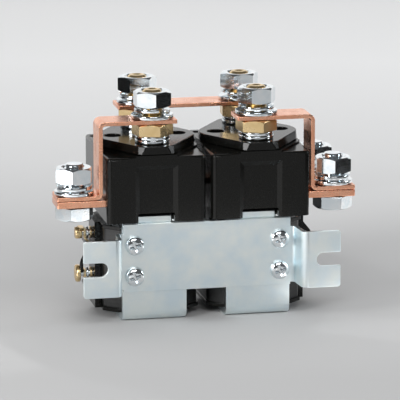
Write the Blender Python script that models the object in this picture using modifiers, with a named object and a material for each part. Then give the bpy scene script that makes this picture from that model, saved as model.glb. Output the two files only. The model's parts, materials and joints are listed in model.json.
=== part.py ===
"""Reversing pair of dc contactors on one folded mounting bracket.

Metres, +Z up, and the front is -Y. Two contactors stand side by side along X. The origin is under
the middle of the whole object, on the surface that the two yokes stand on.
"""

import math

import bmesh
import bpy
from mathutils import Matrix, Vector

# Seats and clearances
SEAT_GAP = 0.00025
SLOT_CLEARANCE = 0.0003
HOLE_CLEARANCE = 0.0004

# Yoke, one bent steel strap under each coil
YOKE_WIDTH = 0.0247
YOKE_DEPTH = 0.0384
YOKE_THICKNESS = 0.0026
YOKE_LEG_HEIGHT = 0.0363
YOKE_BEND_RADIUS = 0.0012
TONGUE_WIDTH = 0.0130
TONGUE_PROUD = 0.0015

# Pole plate with the fixed core that hangs from it, and the two long housing screws
PLATE_THICKNESS = 0.0026
PLATE_LUG_WIDTH = 0.0080
PLATE_LUG_MARGIN = 0.0034
PLATE_LUG_FLARE = 0.0010
CORE_DIAMETER = 0.0120
CORE_LENGTH = 0.0065
SPRING_POCKET_DEPTH = 0.0040
SCREW_EDGE_DISTANCE = 0.0064
SCREW_HEAD_DIAMETER = 0.0058
SCREW_HEAD_HEIGHT = 0.0030
SCREW_HEAD_DEPTH = 0.0120
SCREW_SHANK_DIAMETER = 0.0035

# Coil in its wrapping, with the terminal block on its outer side
COIL_SIDE_INSET = 0.0004
COIL_CORNER_X = 0.0060
COIL_CORNER_Y = 0.0053
COIL_FLANGE_THICKNESS = 0.0016
COIL_WRAP_INSET = 0.0005
BLOCK_THICKNESS = 0.0022
BLOCK_WIDTH = 0.0130
BLOCK_LEDGE_REACH = 0.0049
BLOCK_LEDGE_THICKNESS = 0.0014
BLOCK_LEDGE_CLEARANCE = 0.0008
BLOCK_GUSSET_HEIGHT = 0.0042
COIL_TERMINAL_DROP = 0.0050
COIL_TERMINAL_SPACING = 0.0159
COIL_TERMINAL_OFFSET = 0.0010
COIL_TERMINAL_SMALL_HEAD_DIAMETER = 0.0046
COIL_TERMINAL_LARGE_HEAD_DIAMETER = 0.0066
COIL_TERMINAL_HEAD_THICKNESS = 0.0019
COIL_TERMINAL_SHANK_DIAMETER = 0.0034
COIL_TERMINAL_WASHER_DIAMETER = 0.0046
COIL_TERMINAL_WASHER_THICKNESS = 0.0008
COIL_TERMINAL_STAND = 0.0029
COIL_TERMINAL_DEPTH = 0.0024
DRIVER_SLOT_WIDTH = 0.0009

# Moving parts
CONTACT_TRAVEL = 0.0030
PLUNGER_DIAMETER = 0.0116
PLUNGER_CLEARANCE = 0.0005
PLUNGER_CHAMFER = 0.0008
PLUNGER_RESIDUAL_GAP = 0.0010
ROD_DIAMETER = 0.0040
ROD_CLEARANCE = 0.0005
CONTACT_SPRING_DIAMETER = 0.0070
CONTACT_SPRING_WIRE = 0.0010
CONTACT_SPRING_TURNS = 3
ROD_NUT_DIAMETER = 0.0066
ROD_NUT_HEIGHT = 0.0018
BRIDGE_WIDTH = 0.0086
BRIDGE_THICKNESS = 0.0014
BRIDGE_END_CLEARANCE = 0.0008
BUTTON_HEIGHT = 0.0004
BUTTON_DIAMETER = 0.0070
RETURN_SPRING_DIAMETER = 0.0086
RETURN_SPRING_WIRE = 0.0009
RETURN_SPRING_TURNS = 3.5
SPRING_POCKET_CLEARANCE = 0.0005

# Housing
HOUSING_WIDTH = 0.0378
HOUSING_DEPTH = 0.0490
HOUSING_HEIGHT = 0.0249
HOUSING_GAP = 0.0022
HOUSING_CORNER_RADIUS = 0.0020
HOUSING_WALL = 0.0022
HOUSING_FLOOR = 0.0040
CHAMBER_END_WIDTH = 0.0120
RIM_HEIGHT = 0.0007
RIM_LEDGE = 0.0013
CHANNEL_WIDTH = 0.0162
CHANNEL_DEPTH = 0.0022
CHANNEL_SLOPE = 0.0017
CHANNEL_TOP_MARGIN = 0.0032
NOTCH_SIDE_CLEARANCE = 0.00045
NOTCH_TOP_CLEARANCE = 0.00195
SCREW_HEAD_CLEARANCE = 0.00035
SCREW_COLUMN_WALL = 0.00145
SHOULDER_POCKET_DIAMETER = 0.0038
SHOULDER_POCKET_DEPTH = 0.0020
SHOULDER_POCKET_SIDE_DISTANCE = 0.0029
SHOULDER_POCKET_END_DISTANCE = 0.0051

# Cover, the raised lid that carries the studs
COVER_THICKNESS = 0.0031
COVER_TIP_WIDTH = 0.0090
COVER_TIP_RADIUS = 0.0030
COVER_BOSS_WIDTH = 0.0146
COVER_BOSS_FLAT = 0.0082
COVER_BOSS_FACET = 0.0016

# Terminals
STUD_EDGE_DISTANCE = 0.0092
STUD_DIAMETER = 0.0078
STUD_HEAD_REACH = 0.0005
STUD_END_CHAMFER = 0.0007
STUD_PROUD = 0.0005
SEAT_WASHER_DIAMETER = 0.0132
SEAT_WASHER_HEIGHT = 0.0027
SEAT_WASHER_GROOVE = 0.0003
BRASS_HEX_ACROSS_FLATS = 0.0137
BRASS_HEX_HEIGHT = 0.0044
TOP_WASHER_DIAMETER = 0.0160
LOWER_WASHER_DIAMETER = 0.0150
FLAT_WASHER_THICKNESS = 0.0014
LOCK_WASHER_DIAMETER = 0.0136
LOCK_WASHER_THICKNESS = 0.0013
LOCK_WASHER_RISE = 0.0010
LOCK_WASHER_OPENING_DEGREES = 14.0
NUT_ACROSS_FLATS = 0.0130
NUT_HEIGHT = 0.0060
BOLT_HEAD_HEIGHT = 0.0050
BOLT_PROUD = 0.0013

# Copper bars
BAR_WIDTH = 0.0124
BAR_THICKNESS = 0.0015
BAR_BEND_RADIUS = 0.0010
BAR_SIDE_CLEARANCE = 0.0010
BAR_END_MARGIN = 0.0085
BAR_FLANGE_MARGIN = 0.0074
LOWER_BAR_THICKNESS = 0.0025
LOWER_BAR_LIFT = 0.0020
LOWER_BAR_NECK_WIDTH = 0.0084
LOWER_BAR_SHOULDER = 0.0090
LOWER_BAR_INNER_END = 0.0050

# Mounting bracket, one folded sheet
BRACKET_THICKNESS = 0.0015
BRACKET_EDGE_INSET = 0.0001
BRACKET_TOP_CLEARANCE = 0.0012
BRACKET_PLATE_HEIGHT = 0.0262
BRACKET_STRIP_LOW_STEP = 0.0009
BRACKET_STRIP_HIGH_STEP = 0.0036
BRACKET_WEB_OFFSET = 0.0022
BRACKET_WEB_LEAN = 0.0008
BRACKET_JOGGLE = 0.0107
EAR_REACH = 0.0140
BRACKET_BEND_RADIUS = 0.0012
BRACKET_CORNER_RADIUS = 0.0010
EAR_SLOT_WIDTH = 0.0053
EAR_SLOT_LENGTH = 0.0093
BRACKET_SCREW_OFFSET = 0.0080
BRACKET_SCREW_LOW_STEP = 0.0060
BRACKET_SCREW_HIGH_STEP = 0.0082
BRACKET_SCREW_HEAD_DIAMETER = 0.0072
BRACKET_SCREW_HEAD_HEIGHT = 0.0024
BRACKET_SCREW_SHANK_DIAMETER = 0.0038
CROSS_RECESS_LENGTH = 0.0038
CROSS_RECESS_WIDTH = 0.0009
CROSS_RECESS_DEPTH = 0.0011

# Facets of round pieces
ROUND_STEPS = 18
SMALL_STEPS = 12
HEXAGON_STEPS = 18
ARC_STEPS = 3
SPRING_STEPS_PER_TURN = 10

# Cutters reach this far past the faces that they open
CUT_MARGIN = 0.0010

# Heights that follow from the sizes above
plate_low_z = YOKE_LEG_HEIGHT + SEAT_GAP
plate_high_z = plate_low_z + PLATE_THICKNESS
housing_low_z = plate_high_z + SEAT_GAP
housing_high_z = housing_low_z + HOUSING_HEIGHT
rim_high_z = housing_high_z + RIM_HEIGHT
cover_low_z = rim_high_z + SEAT_GAP
cover_high_z = cover_low_z + COVER_THICKNESS
chamber_low_z = housing_low_z + HOUSING_FLOOR
screw_ledge_z = cover_high_z - SCREW_HEAD_DEPTH
lower_bar_low_z = chamber_low_z + LOWER_BAR_LIFT
lower_bar_high_z = lower_bar_low_z + LOWER_BAR_THICKNESS
bridge_low_z = lower_bar_high_z + SEAT_GAP + BUTTON_HEIGHT
bridge_high_z = bridge_low_z + BRIDGE_THICKNESS
stud_low_z = bridge_high_z + BUTTON_HEIGHT + CONTACT_TRAVEL + SEAT_GAP
seat_washer_low_z = cover_high_z + SEAT_GAP
brass_hex_low_z = seat_washer_low_z + SEAT_WASHER_HEIGHT + SEAT_GAP
top_bar_low_z = brass_hex_low_z + BRASS_HEX_HEIGHT + SEAT_GAP
top_bar_high_z = top_bar_low_z + BAR_THICKNESS
flange_low_z = lower_bar_high_z + SEAT_GAP
flange_high_z = flange_low_z + BAR_THICKNESS
coil_low_z = YOKE_THICKNESS + SEAT_GAP
coil_high_z = plate_low_z - SEAT_GAP
core_low_z = plate_low_z - CORE_LENGTH
plunger_high_z = core_low_z - CONTACT_TRAVEL - PLUNGER_RESIDUAL_GAP
spring_low_z = plunger_high_z + SEAT_GAP
spring_high_z = core_low_z + SPRING_POCKET_DEPTH - SEAT_GAP
lock_washer_height = LOCK_WASHER_THICKNESS + LOCK_WASHER_RISE
tongue_high_z = plate_high_z + TONGUE_PROUD
coil_terminal_high_z = coil_high_z - COIL_TERMINAL_DROP
coil_terminal_low_z = coil_terminal_high_z - COIL_TERMINAL_SPACING
bracket_high_z = housing_low_z - BRACKET_TOP_CLEARANCE
bracket_low_z = bracket_high_z - BRACKET_PLATE_HEIGHT
bracket_screw_high_z = bracket_high_z - BRACKET_SCREW_HIGH_STEP
bracket_screw_low_z = bracket_low_z + BRACKET_SCREW_LOW_STEP

# Places in plan that follow from the sizes above
unit_x = (HOUSING_WIDTH + HOUSING_GAP) / 2
yoke_front = YOKE_DEPTH / 2
bracket_back = yoke_front + SEAT_GAP
bracket_front = bracket_back + BRACKET_THICKNESS
ear_front = bracket_front + BRACKET_JOGGLE
unit_y = (ear_front - HOUSING_DEPTH / 2) / 2
stud_y = HOUSING_DEPTH / 2 - STUD_EDGE_DISTANCE
screw_x = HOUSING_WIDTH / 2 - SCREW_EDGE_DISTANCE
screw_hole_radius = SCREW_HEAD_DIAMETER / 2 + SCREW_HEAD_CLEARANCE
leg_inner_x = unit_x + HOUSING_WIDTH / 2 + BAR_SIDE_CLEARANCE
leg_outer_x = leg_inner_x + BAR_THICKNESS
lower_stack_radius = max(LOWER_WASHER_DIAMETER / 2, NUT_ACROSS_FLATS / math.sqrt(3.0))
terminal_x = leg_outer_x + BAR_BEND_RADIUS + lower_stack_radius
coil_half_depth = YOKE_DEPTH / 2 - YOKE_THICKNESS - SEAT_GAP
coil_half_width = HOUSING_WIDTH / 2 - COIL_SIDE_INSET
block_face = coil_half_width + BLOCK_THICKNESS
bracket_half_width = unit_x + YOKE_WIDTH / 2 - BRACKET_EDGE_INSET
ear_end = bracket_half_width + BRACKET_WEB_OFFSET + BRACKET_WEB_LEAN + EAR_REACH
chamber_half_depth = HOUSING_DEPTH / 2 - CHANNEL_DEPTH - HOUSING_WALL
chamber_half_width = HOUSING_WIDTH / 2 - HOUSING_WALL
thread_hole_radius = STUD_DIAMETER / 2 + HOLE_CLEARANCE
rod_hole_radius = ROD_DIAMETER / 2 + ROD_CLEARANCE

# Turns a flat outline in XY, extruded along Z, so that it lies in XZ or in YZ
OUTLINE_TO_XZ = Matrix.Rotation(math.radians(90.0), 4, "X")
OUTLINE_TO_YZ = Matrix(((0, 0, 1, 0), (1, 0, 0, 0), (0, 1, 0, 0), (0, 0, 0, 1)))
AXIS_TO_FRONT = Matrix.Rotation(math.radians(90.0), 4, "X")


def clear_scene():
    for obj in list(bpy.data.objects):
        bpy.data.objects.remove(obj, do_unlink=True)


def new_collection(name):
    collection = bpy.data.collections.new(name)
    bpy.context.scene.collection.children.link(collection)
    return collection


def make_material(name, colour, metallic, roughness):
    material = bpy.data.materials.new(name)
    material.use_nodes = True
    shader = material.node_tree.nodes["Principled BSDF"]
    shader.inputs["Base Color"].default_value = (*colour, 1.0)
    shader.inputs["Metallic"].default_value = metallic
    shader.inputs["Roughness"].default_value = roughness
    material.diffuse_color = (*colour, 1.0)
    return material


clear_scene()
parts = new_collection("dc_contactor_pair")
cutters = new_collection("cutters")

zinc = make_material("zinc_plate", (0.66, 0.71, 0.74), 1.0, 0.28)
copper = make_material("copper", (0.80, 0.42, 0.29), 1.0, 0.30)
brass = make_material("brass", (0.72, 0.55, 0.28), 1.0, 0.32)
black_moulding = make_material("black_moulding", (0.012, 0.012, 0.012), 0.0, 0.25)
coil_wrap = make_material("coil_wrap", (0.016, 0.016, 0.016), 0.0, 0.35)
spring_steel = make_material("spring_steel", (0.45, 0.45, 0.46), 1.0, 0.30)


# Outlines

def arc(centre, radius, start_degrees, end_degrees, steps=ARC_STEPS):
    """Points along an arc, both ends included."""
    points = []
    for i in range(steps + 1):
        angle = math.radians(start_degrees + (end_degrees - start_degrees) * i / steps)
        points.append((centre[0] + radius * math.cos(angle), centre[1] + radius * math.sin(angle)))
    return points


def circle(centre, radius, steps=ROUND_STEPS):
    return arc(centre, radius, 0.0, 360.0, steps)[:-1]


def hexagon(across_flats):
    return arc((0.0, 0.0), across_flats / math.sqrt(3.0), 0.0, 360.0, 6)[:-1]


def rounded(corners, radii, closed=True):
    """An outline, or an open path, with each corner replaced by an arc of its own radius."""
    points = []
    last = len(corners) - 1
    for i, (corner, radius) in enumerate(zip(corners, radii)):
        if radius <= 0.0 or (not closed and i in (0, last)):
            points.append(tuple(corner))
            continue
        here = Vector(corner)
        before = (Vector(corners[i - 1]) - here).normalized()
        after = (Vector(corners[(i + 1) % len(corners)]) - here).normalized()
        half_angle = before.angle(after) / 2
        centre = here + (before + after).normalized() * (radius / math.sin(half_angle))
        reach = radius / math.tan(half_angle)
        first = here + before * reach - centre
        final = here + after * reach - centre
        start = math.atan2(first.y, first.x)
        sweep = math.atan2(first.cross(final), first.dot(final))
        for k in range(ARC_STEPS + 1):
            angle = start + sweep * k / ARC_STEPS
            points.append((centre.x + radius * math.cos(angle), centre.y + radius * math.sin(angle)))
    return points


def mirrored_quarters(quarter):
    """A closed outline from its points in the first quarter, given from the Y side to the X side."""
    right_front = [(x, -y) for x, y in quarter]
    right_back = [(x, y) for x, y in reversed(quarter)]
    left_back = [(-x, y) for x, y in quarter]
    left_front = [(-x, -y) for x, y in reversed(quarter)]
    return right_front + right_back + left_back + left_front


def rectangle(half_x, half_y):
    return mirrored_quarters([(half_x, half_y)])


def strip_outline(path, thickness, bend_radius):
    """The closed edge view of a bent strip whose centre line is the path."""
    sides = {1: ([], []), -1: ([], [])}
    for i, point in enumerate(path):
        here = Vector(point)
        before = (here - Vector(path[i - 1])).normalized() if i > 0 else None
        after = (Vector(path[i + 1]) - here).normalized() if i < len(path) - 1 else None
        before = before or after
        after = after or before
        along = (before + after).normalized()
        normal = Vector((-along.y, along.x))
        offset = thickness / 2 / along.dot(after)
        turn = before.cross(after)
        for side, (points, radii) in sides.items():
            points.append(here + normal * offset * side)
            radii.append(bend_radius if turn * side > 0.0 else bend_radius + thickness)
    left = rounded(*sides[1], closed=False)
    right = rounded(*sides[-1], closed=False)
    return left + right[::-1]


# Meshes and objects

def add_object(name, data, material=None, parent=None, location=(0.0, 0.0, 0.0)):
    obj = bpy.data.objects.new(name, data)
    parts.objects.link(obj)
    obj.parent = parent
    obj.location = location
    if material is not None:
        data.materials.clear()
        data.materials.append(material)
    return obj


def finished_mesh(obj):
    """The object's mesh with its modifiers applied. The object itself is removed."""
    bpy.context.view_layer.update()
    evaluated = obj.evaluated_get(bpy.context.evaluated_depsgraph_get())
    mesh = bpy.data.meshes.new_from_object(evaluated)
    bm = bmesh.new()
    bm.from_mesh(mesh)
    bmesh.ops.remove_doubles(bm, verts=bm.verts, dist=1e-6)
    bm.to_mesh(mesh)
    bm.free()
    bpy.data.objects.remove(obj, do_unlink=True)
    return mesh


def extruded(outlines, low, high, turn=None):
    """A flat outline, with its holes, extruded along Z and then turned into another plane."""
    curve = bpy.data.curves.new("outline", "CURVE")
    curve.dimensions = "2D"
    curve.fill_mode = "BOTH"
    curve.extrude = (high - low) / 2
    for outline in outlines:
        spline = curve.splines.new("POLY")
        spline.points.add(len(outline) - 1)
        for point, (x, y) in zip(spline.points, outline):
            point.co = (x, y, 0.0, 1.0)
        spline.use_cyclic_u = True
    mesh = finished_mesh(add_object("outline", curve))
    mesh.transform(Matrix.Translation((0.0, 0.0, (low + high) / 2)))
    if turn is not None:
        mesh.transform(turn)
    return mesh


def box(low, high):
    mesh = bpy.data.meshes.new("box")
    bm = bmesh.new()
    bmesh.ops.create_cube(bm, size=1.0)
    size = [high[i] - low[i] for i in range(3)]
    middle = [(high[i] + low[i]) / 2 for i in range(3)]
    bmesh.ops.scale(bm, vec=size, verts=bm.verts)
    bmesh.ops.translate(bm, vec=middle, verts=bm.verts)
    bm.to_mesh(mesh)
    bm.free()
    return mesh


def turned(profile, steps=ROUND_STEPS, ring=False):
    """A profile of (radius, z) turned about Z, running down its outer side. A ring's is closed."""
    mesh = bpy.data.meshes.new("turned")
    edges = [(i, i + 1) for i in range(len(profile) - 1)]
    if ring:
        edges.append((len(profile) - 1, 0))
    mesh.from_pydata([(radius, 0.0, z) for radius, z in profile], edges, [])
    obj = add_object("turned", mesh)
    screw = obj.modifiers.new("turn", "SCREW")
    screw.axis = "Z"
    screw.steps = steps
    screw.render_steps = steps
    screw.use_merge_vertices = True
    screw.merge_threshold = 1e-6
    solid = finished_mesh(obj)
    solid.shade_smooth()
    solid.set_sharp_from_angle(angle=math.radians(40.0))
    return solid


def cylinder(radius, low, high, x=0.0, y=0.0, steps=ROUND_STEPS):
    mesh = turned([(0.0, high), (radius, high), (radius, low), (0.0, low)], steps)
    mesh.transform(Matrix.Translation((x, y, 0.0)))
    return mesh


def lofted(sections):
    """A closed body through sections of as many points each, with a flat cap on each end."""
    mesh = bpy.data.meshes.new("lofted")
    bm = bmesh.new()
    rings = [[bm.verts.new(point) for point in section] for section in sections]
    for ring, above in zip(rings, rings[1:]):
        for i in range(len(ring)):
            k = (i + 1) % len(ring)
            bm.faces.new((ring[i], ring[k], above[k], above[i]))
    bm.faces.new(rings[0][::-1])
    bm.faces.new(rings[-1])
    bmesh.ops.recalc_face_normals(bm, faces=bm.faces)
    bm.to_mesh(mesh)
    bm.free()
    return mesh


def combine(obj, mesh, operation, label):
    """Cut, join or intersect an object with a mesh given in the same local coordinates."""
    tool = bpy.data.objects.new(f"{obj.name}_{label}", mesh)
    cutters.objects.link(tool)
    tool.parent = obj.parent
    tool.location = obj.location
    tool.hide_render = True
    tool.display_type = "WIRE"
    modifier = obj.modifiers.new(label, "BOOLEAN")
    modifier.operation = operation
    modifier.solver = "EXACT"
    modifier.object = tool


def cut(obj, mesh, label):
    combine(obj, mesh, "DIFFERENCE", label)


def join(obj, mesh, label):
    combine(obj, mesh, "UNION", label)


def keep_inside(obj, mesh, label):
    combine(obj, mesh, "INTERSECT", label)


def both(value):
    return (-value, value)


# Fasteners, each modelled once

def chamfered_hexagon(across_flats, low, high, chamfer_low, chamfer_high, hole_radius=None):
    """A hexagonal prism whose corners are turned off at 30 degrees on the chosen ends."""
    outlines = [hexagon(across_flats)]
    if hole_radius is not None:
        outlines.append(circle((0.0, 0.0), hole_radius))
    prism = add_object("hexagon", extruded(outlines, low, high))
    corner_radius = across_flats / math.sqrt(3.0)
    wide = corner_radius + CUT_MARGIN
    slope = math.tan(math.radians(30.0))
    flat_radius = across_flats / 2 * 0.98
    fall = (wide - flat_radius) * slope
    rise = CUT_MARGIN * slope
    top = [(0.0, high + CUT_MARGIN), (wide, high + CUT_MARGIN)]
    bottom = [(wide, low - CUT_MARGIN), (0.0, low - CUT_MARGIN)]
    if chamfer_high:
        top = [(0.0, high + rise), (flat_radius - CUT_MARGIN, high + rise), (wide, high - fall)]
    if chamfer_low:
        bottom = [(wide, low + fall), (flat_radius - CUT_MARGIN, low - rise), (0.0, low - rise)]
    keep_inside(prism, turned(top + bottom, HEXAGON_STEPS), "corner_chamfer")
    return finished_mesh(prism)


def hexagon_nut():
    return chamfered_hexagon(NUT_ACROSS_FLATS, 0.0, NUT_HEIGHT, True, True, thread_hole_radius)


def hexagon_bolt(length):
    """A bolt standing on its head: the head is below z = 0 and the shank rises to its length."""
    radius = STUD_DIAMETER / 2
    tip = radius - STUD_END_CHAMFER
    shank = [(0.0, length), (tip, length), (radius, length - STUD_END_CHAMFER),
             (radius, -BOLT_HEAD_HEIGHT / 2), (0.0, -BOLT_HEAD_HEIGHT / 2)]
    head = chamfered_hexagon(NUT_ACROSS_FLATS, -BOLT_HEAD_HEIGHT, 0.0, True, False)
    bolt = add_object("bolt", head)
    join(bolt, turned(shank), "shank")
    return finished_mesh(bolt)


def flat_washer(diameter):
    outer = diameter / 2
    inner = thread_hole_radius
    high = FLAT_WASHER_THICKNESS
    profile = [(inner, high), (outer, high), (outer, 0.0), (inner, 0.0)]
    return turned(profile, ring=True)


def seat_washers():
    """The two plain washers under a stud's hexagon, seen as two rims with a line between them."""
    outer = SEAT_WASHER_DIAMETER / 2
    inner = thread_hole_radius
    groove = outer - SEAT_WASHER_GROOVE
    high = SEAT_WASHER_HEIGHT
    middle = high / 2
    half_groove = SEAT_WASHER_GROOVE / 2
    profile = [(inner, high), (outer, high), (outer, middle + half_groove),
               (groove, middle + half_groove), (groove, middle - half_groove),
               (outer, middle - half_groove), (outer, 0.0), (inner, 0.0)]
    return turned(profile, ring=True)


def lock_washer():
    """A spring washer: a square section on a helix, cut open by a narrow slit."""
    outer = LOCK_WASHER_DIAMETER / 2
    inner = thread_hole_radius
    sections = []
    for i in range(ROUND_STEPS + 1):
        share = i / ROUND_STEPS
        angle = math.radians(LOCK_WASHER_OPENING_DEGREES / 2
                             + (360.0 - LOCK_WASHER_OPENING_DEGREES) * share)
        low = LOCK_WASHER_RISE * share
        high = low + LOCK_WASHER_THICKNESS
        corners = [(inner, low), (outer, low), (outer, high), (inner, high)]
        sections.append([(r * math.cos(angle), r * math.sin(angle), z) for r, z in corners])
    mesh = lofted(sections)
    mesh.shade_smooth()
    mesh.set_sharp_from_angle(angle=math.radians(40.0))
    return mesh


def stud():
    """Brass post with its hexagon. The contact end is inside the chamber, the thread outside."""
    radius = STUD_DIAMETER / 2
    head = radius + STUD_HEAD_REACH
    tip = radius - STUD_END_CHAMFER
    profile = [(0.0, stud_high_z), (tip, stud_high_z), (radius, stud_high_z - STUD_END_CHAMFER),
               (radius, cover_low_z - SEAT_GAP), (head, cover_low_z - SEAT_GAP),
               (head, stud_low_z), (0.0, stud_low_z)]
    hexagon_high_z = brass_hex_low_z + BRASS_HEX_HEIGHT
    collar = chamfered_hexagon(BRASS_HEX_ACROSS_FLATS, brass_hex_low_z, hexagon_high_z, False, True)
    post = add_object("stud", turned(profile))
    join(post, collar, "hexagon")
    return finished_mesh(post)


# Terminal stacks, from the bar upwards: flat washer, spring washer, nut

def stack_levels(bar_high_z):
    flat = bar_high_z + SEAT_GAP
    lock = flat + FLAT_WASHER_THICKNESS + SEAT_GAP
    nut = lock + lock_washer_height + SEAT_GAP
    return flat, lock, nut


def add_stack(name, x, y, bar_high_z, washer_mesh, lock_degrees, nut_degrees):
    flat_z, lock_z, nut_z = stack_levels(bar_high_z)
    add_object(f"{name}_flat_washer", washer_mesh.copy(), zinc, frame_empty, (x, y, flat_z))
    lock = add_object(f"{name}_lock_washer", lock_mesh.copy(), zinc, frame_empty, (x, y, lock_z))
    lock.rotation_euler.z = math.radians(lock_degrees)
    nut = add_object(f"{name}_nut", nut_mesh.copy(), zinc, frame_empty, (x, y, nut_z))
    nut.rotation_euler.z = math.radians(nut_degrees)


stud_high_z = stack_levels(top_bar_high_z)[2] + NUT_HEIGHT + STUD_PROUD
nut_mesh = hexagon_nut()
lock_mesh = lock_washer()
top_washer_mesh = flat_washer(TOP_WASHER_DIAMETER)
lower_washer_mesh = flat_washer(LOWER_WASHER_DIAMETER)
seat_mesh = seat_washers()
stud_mesh = stud()

frame_empty = bpy.data.objects.new("contactor_frame", None)
parts.objects.link(frame_empty)
frame_empty.location = (0.0, unit_y, 0.0)


def add_top_terminal(name, x, y, hexagon_degrees, lock_degrees, nut_degrees):
    post = add_object(f"{name}_stud", stud_mesh.copy(), brass, frame_empty, (x, y, 0.0))
    post.rotation_euler.z = math.radians(hexagon_degrees)
    add_object(f"{name}_seat_washers", seat_mesh.copy(), zinc, frame_empty, (x, y, seat_washer_low_z))
    add_stack(name, x, y, top_bar_high_z, top_washer_mesh, lock_degrees, nut_degrees)


def add_lower_terminal(name, x, y, bar_high_z, head_degrees, lock_degrees, nut_degrees):
    nut_z = stack_levels(bar_high_z)[2]
    shoulder_z = lower_bar_low_z - SEAT_GAP
    bolt_mesh = hexagon_bolt(nut_z + NUT_HEIGHT + BOLT_PROUD - shoulder_z)
    bolt = add_object(f"{name}_bolt", bolt_mesh, zinc, frame_empty, (x, y, shoulder_z))
    bolt.rotation_euler.z = math.radians(head_degrees)
    add_stack(name, x, y, bar_high_z, lower_washer_mesh, lock_degrees, nut_degrees)


# Magnet: yoke, pole plate, coil, plunger and return spring

def add_yoke(side, unit):
    """A flat strap bent into a U, its two ends narrowed to tongues above the shoulders."""
    outer = yoke_front
    inner = yoke_front - YOKE_THICKNESS
    corners = [(-outer, tongue_high_z), (-outer, 0.0), (outer, 0.0), (outer, tongue_high_z),
               (inner, tongue_high_z), (inner, YOKE_THICKNESS),
               (-inner, YOKE_THICKNESS), (-inner, tongue_high_z)]
    outer_bend = YOKE_BEND_RADIUS + YOKE_THICKNESS
    radii = [0.0, outer_bend, outer_bend, 0.0, 0.0, YOKE_BEND_RADIUS, YOKE_BEND_RADIUS, 0.0]
    strap = extruded([rounded(corners, radii)], -YOKE_WIDTH / 2, YOKE_WIDTH / 2, OUTLINE_TO_YZ)
    yoke = add_object(f"{side}_yoke", strap, zinc, unit)
    for x in both(1.0):
        near = x * TONGUE_WIDTH / 2
        far = x * (YOKE_WIDTH / 2 + CUT_MARGIN)
        low = (min(near, far), -outer - CUT_MARGIN, YOKE_LEG_HEIGHT)
        high = (max(near, far), outer + CUT_MARGIN, tongue_high_z + CUT_MARGIN)
        cut(yoke, box(low, high), f"shoulder_{'right' if x > 0 else 'left'}")
    hole_radius = BRACKET_SCREW_SHANK_DIAMETER / 2 + HOLE_CLEARANCE
    offset = BRACKET_SCREW_OFFSET if side == "right" else -BRACKET_SCREW_OFFSET
    for z in (bracket_screw_low_z, bracket_screw_high_z):
        hole = cylinder(hole_radius, inner - CUT_MARGIN, outer + CUT_MARGIN, steps=SMALL_STEPS)
        hole.transform(AXIS_TO_FRONT)
        hole.transform(Matrix.Translation((offset, 0.0, z)))
        cut(yoke, hole, f"screw_hole_{z:.3f}")


def add_pole_plate(side, unit):
    """Stamped plate notched for the tongues and lugged for the screws, with its fixed core."""
    half_x = YOKE_WIDTH / 2
    half_y = yoke_front
    notch_x = TONGUE_WIDTH / 2 + SLOT_CLEARANCE
    notch_y = yoke_front - YOKE_THICKNESS - SLOT_CLEARANCE
    lug_x = screw_x + PLATE_LUG_MARGIN
    lug_y = PLATE_LUG_WIDTH / 2
    quarter = [(notch_x, notch_y), (notch_x, half_y), (half_x, half_y),
               (half_x, lug_y + PLATE_LUG_FLARE), (lug_x, lug_y)]
    outline = mirrored_quarters(quarter)
    plate = add_object(f"{side}_pole_plate", extruded([outline], plate_low_z, plate_high_z), zinc, unit)
    middle_z = (plate_low_z + plate_high_z) / 2
    join(plate, cylinder(CORE_DIAMETER / 2, core_low_z, middle_z, steps=SMALL_STEPS), "core")
    pocket_radius = RETURN_SPRING_DIAMETER / 2 + SPRING_POCKET_CLEARANCE
    pocket_high_z = core_low_z + SPRING_POCKET_DEPTH
    cut(plate, cylinder(pocket_radius, core_low_z - CUT_MARGIN, pocket_high_z, steps=SMALL_STEPS),
        "spring_pocket")
    cut(plate, cylinder(rod_hole_radius, core_low_z, plate_high_z + CUT_MARGIN, steps=SMALL_STEPS),
        "rod_hole")
    shank = SCREW_SHANK_DIAMETER / 2
    head = SCREW_HEAD_DIAMETER / 2
    under_head_z = screw_ledge_z + SEAT_GAP
    head_high_z = under_head_z + SCREW_HEAD_HEIGHT
    profile = [(0.0, head_high_z), (head, head_high_z), (head, under_head_z), (shank, under_head_z),
               (shank, middle_z), (0.0, middle_z)]
    for x in both(screw_x):
        screw = turned(profile, SMALL_STEPS)
        screw.transform(Matrix.Translation((x, 0.0, 0.0)))
        join(plate, screw, f"housing_screw_{'right' if x > 0 else 'left'}")


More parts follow.
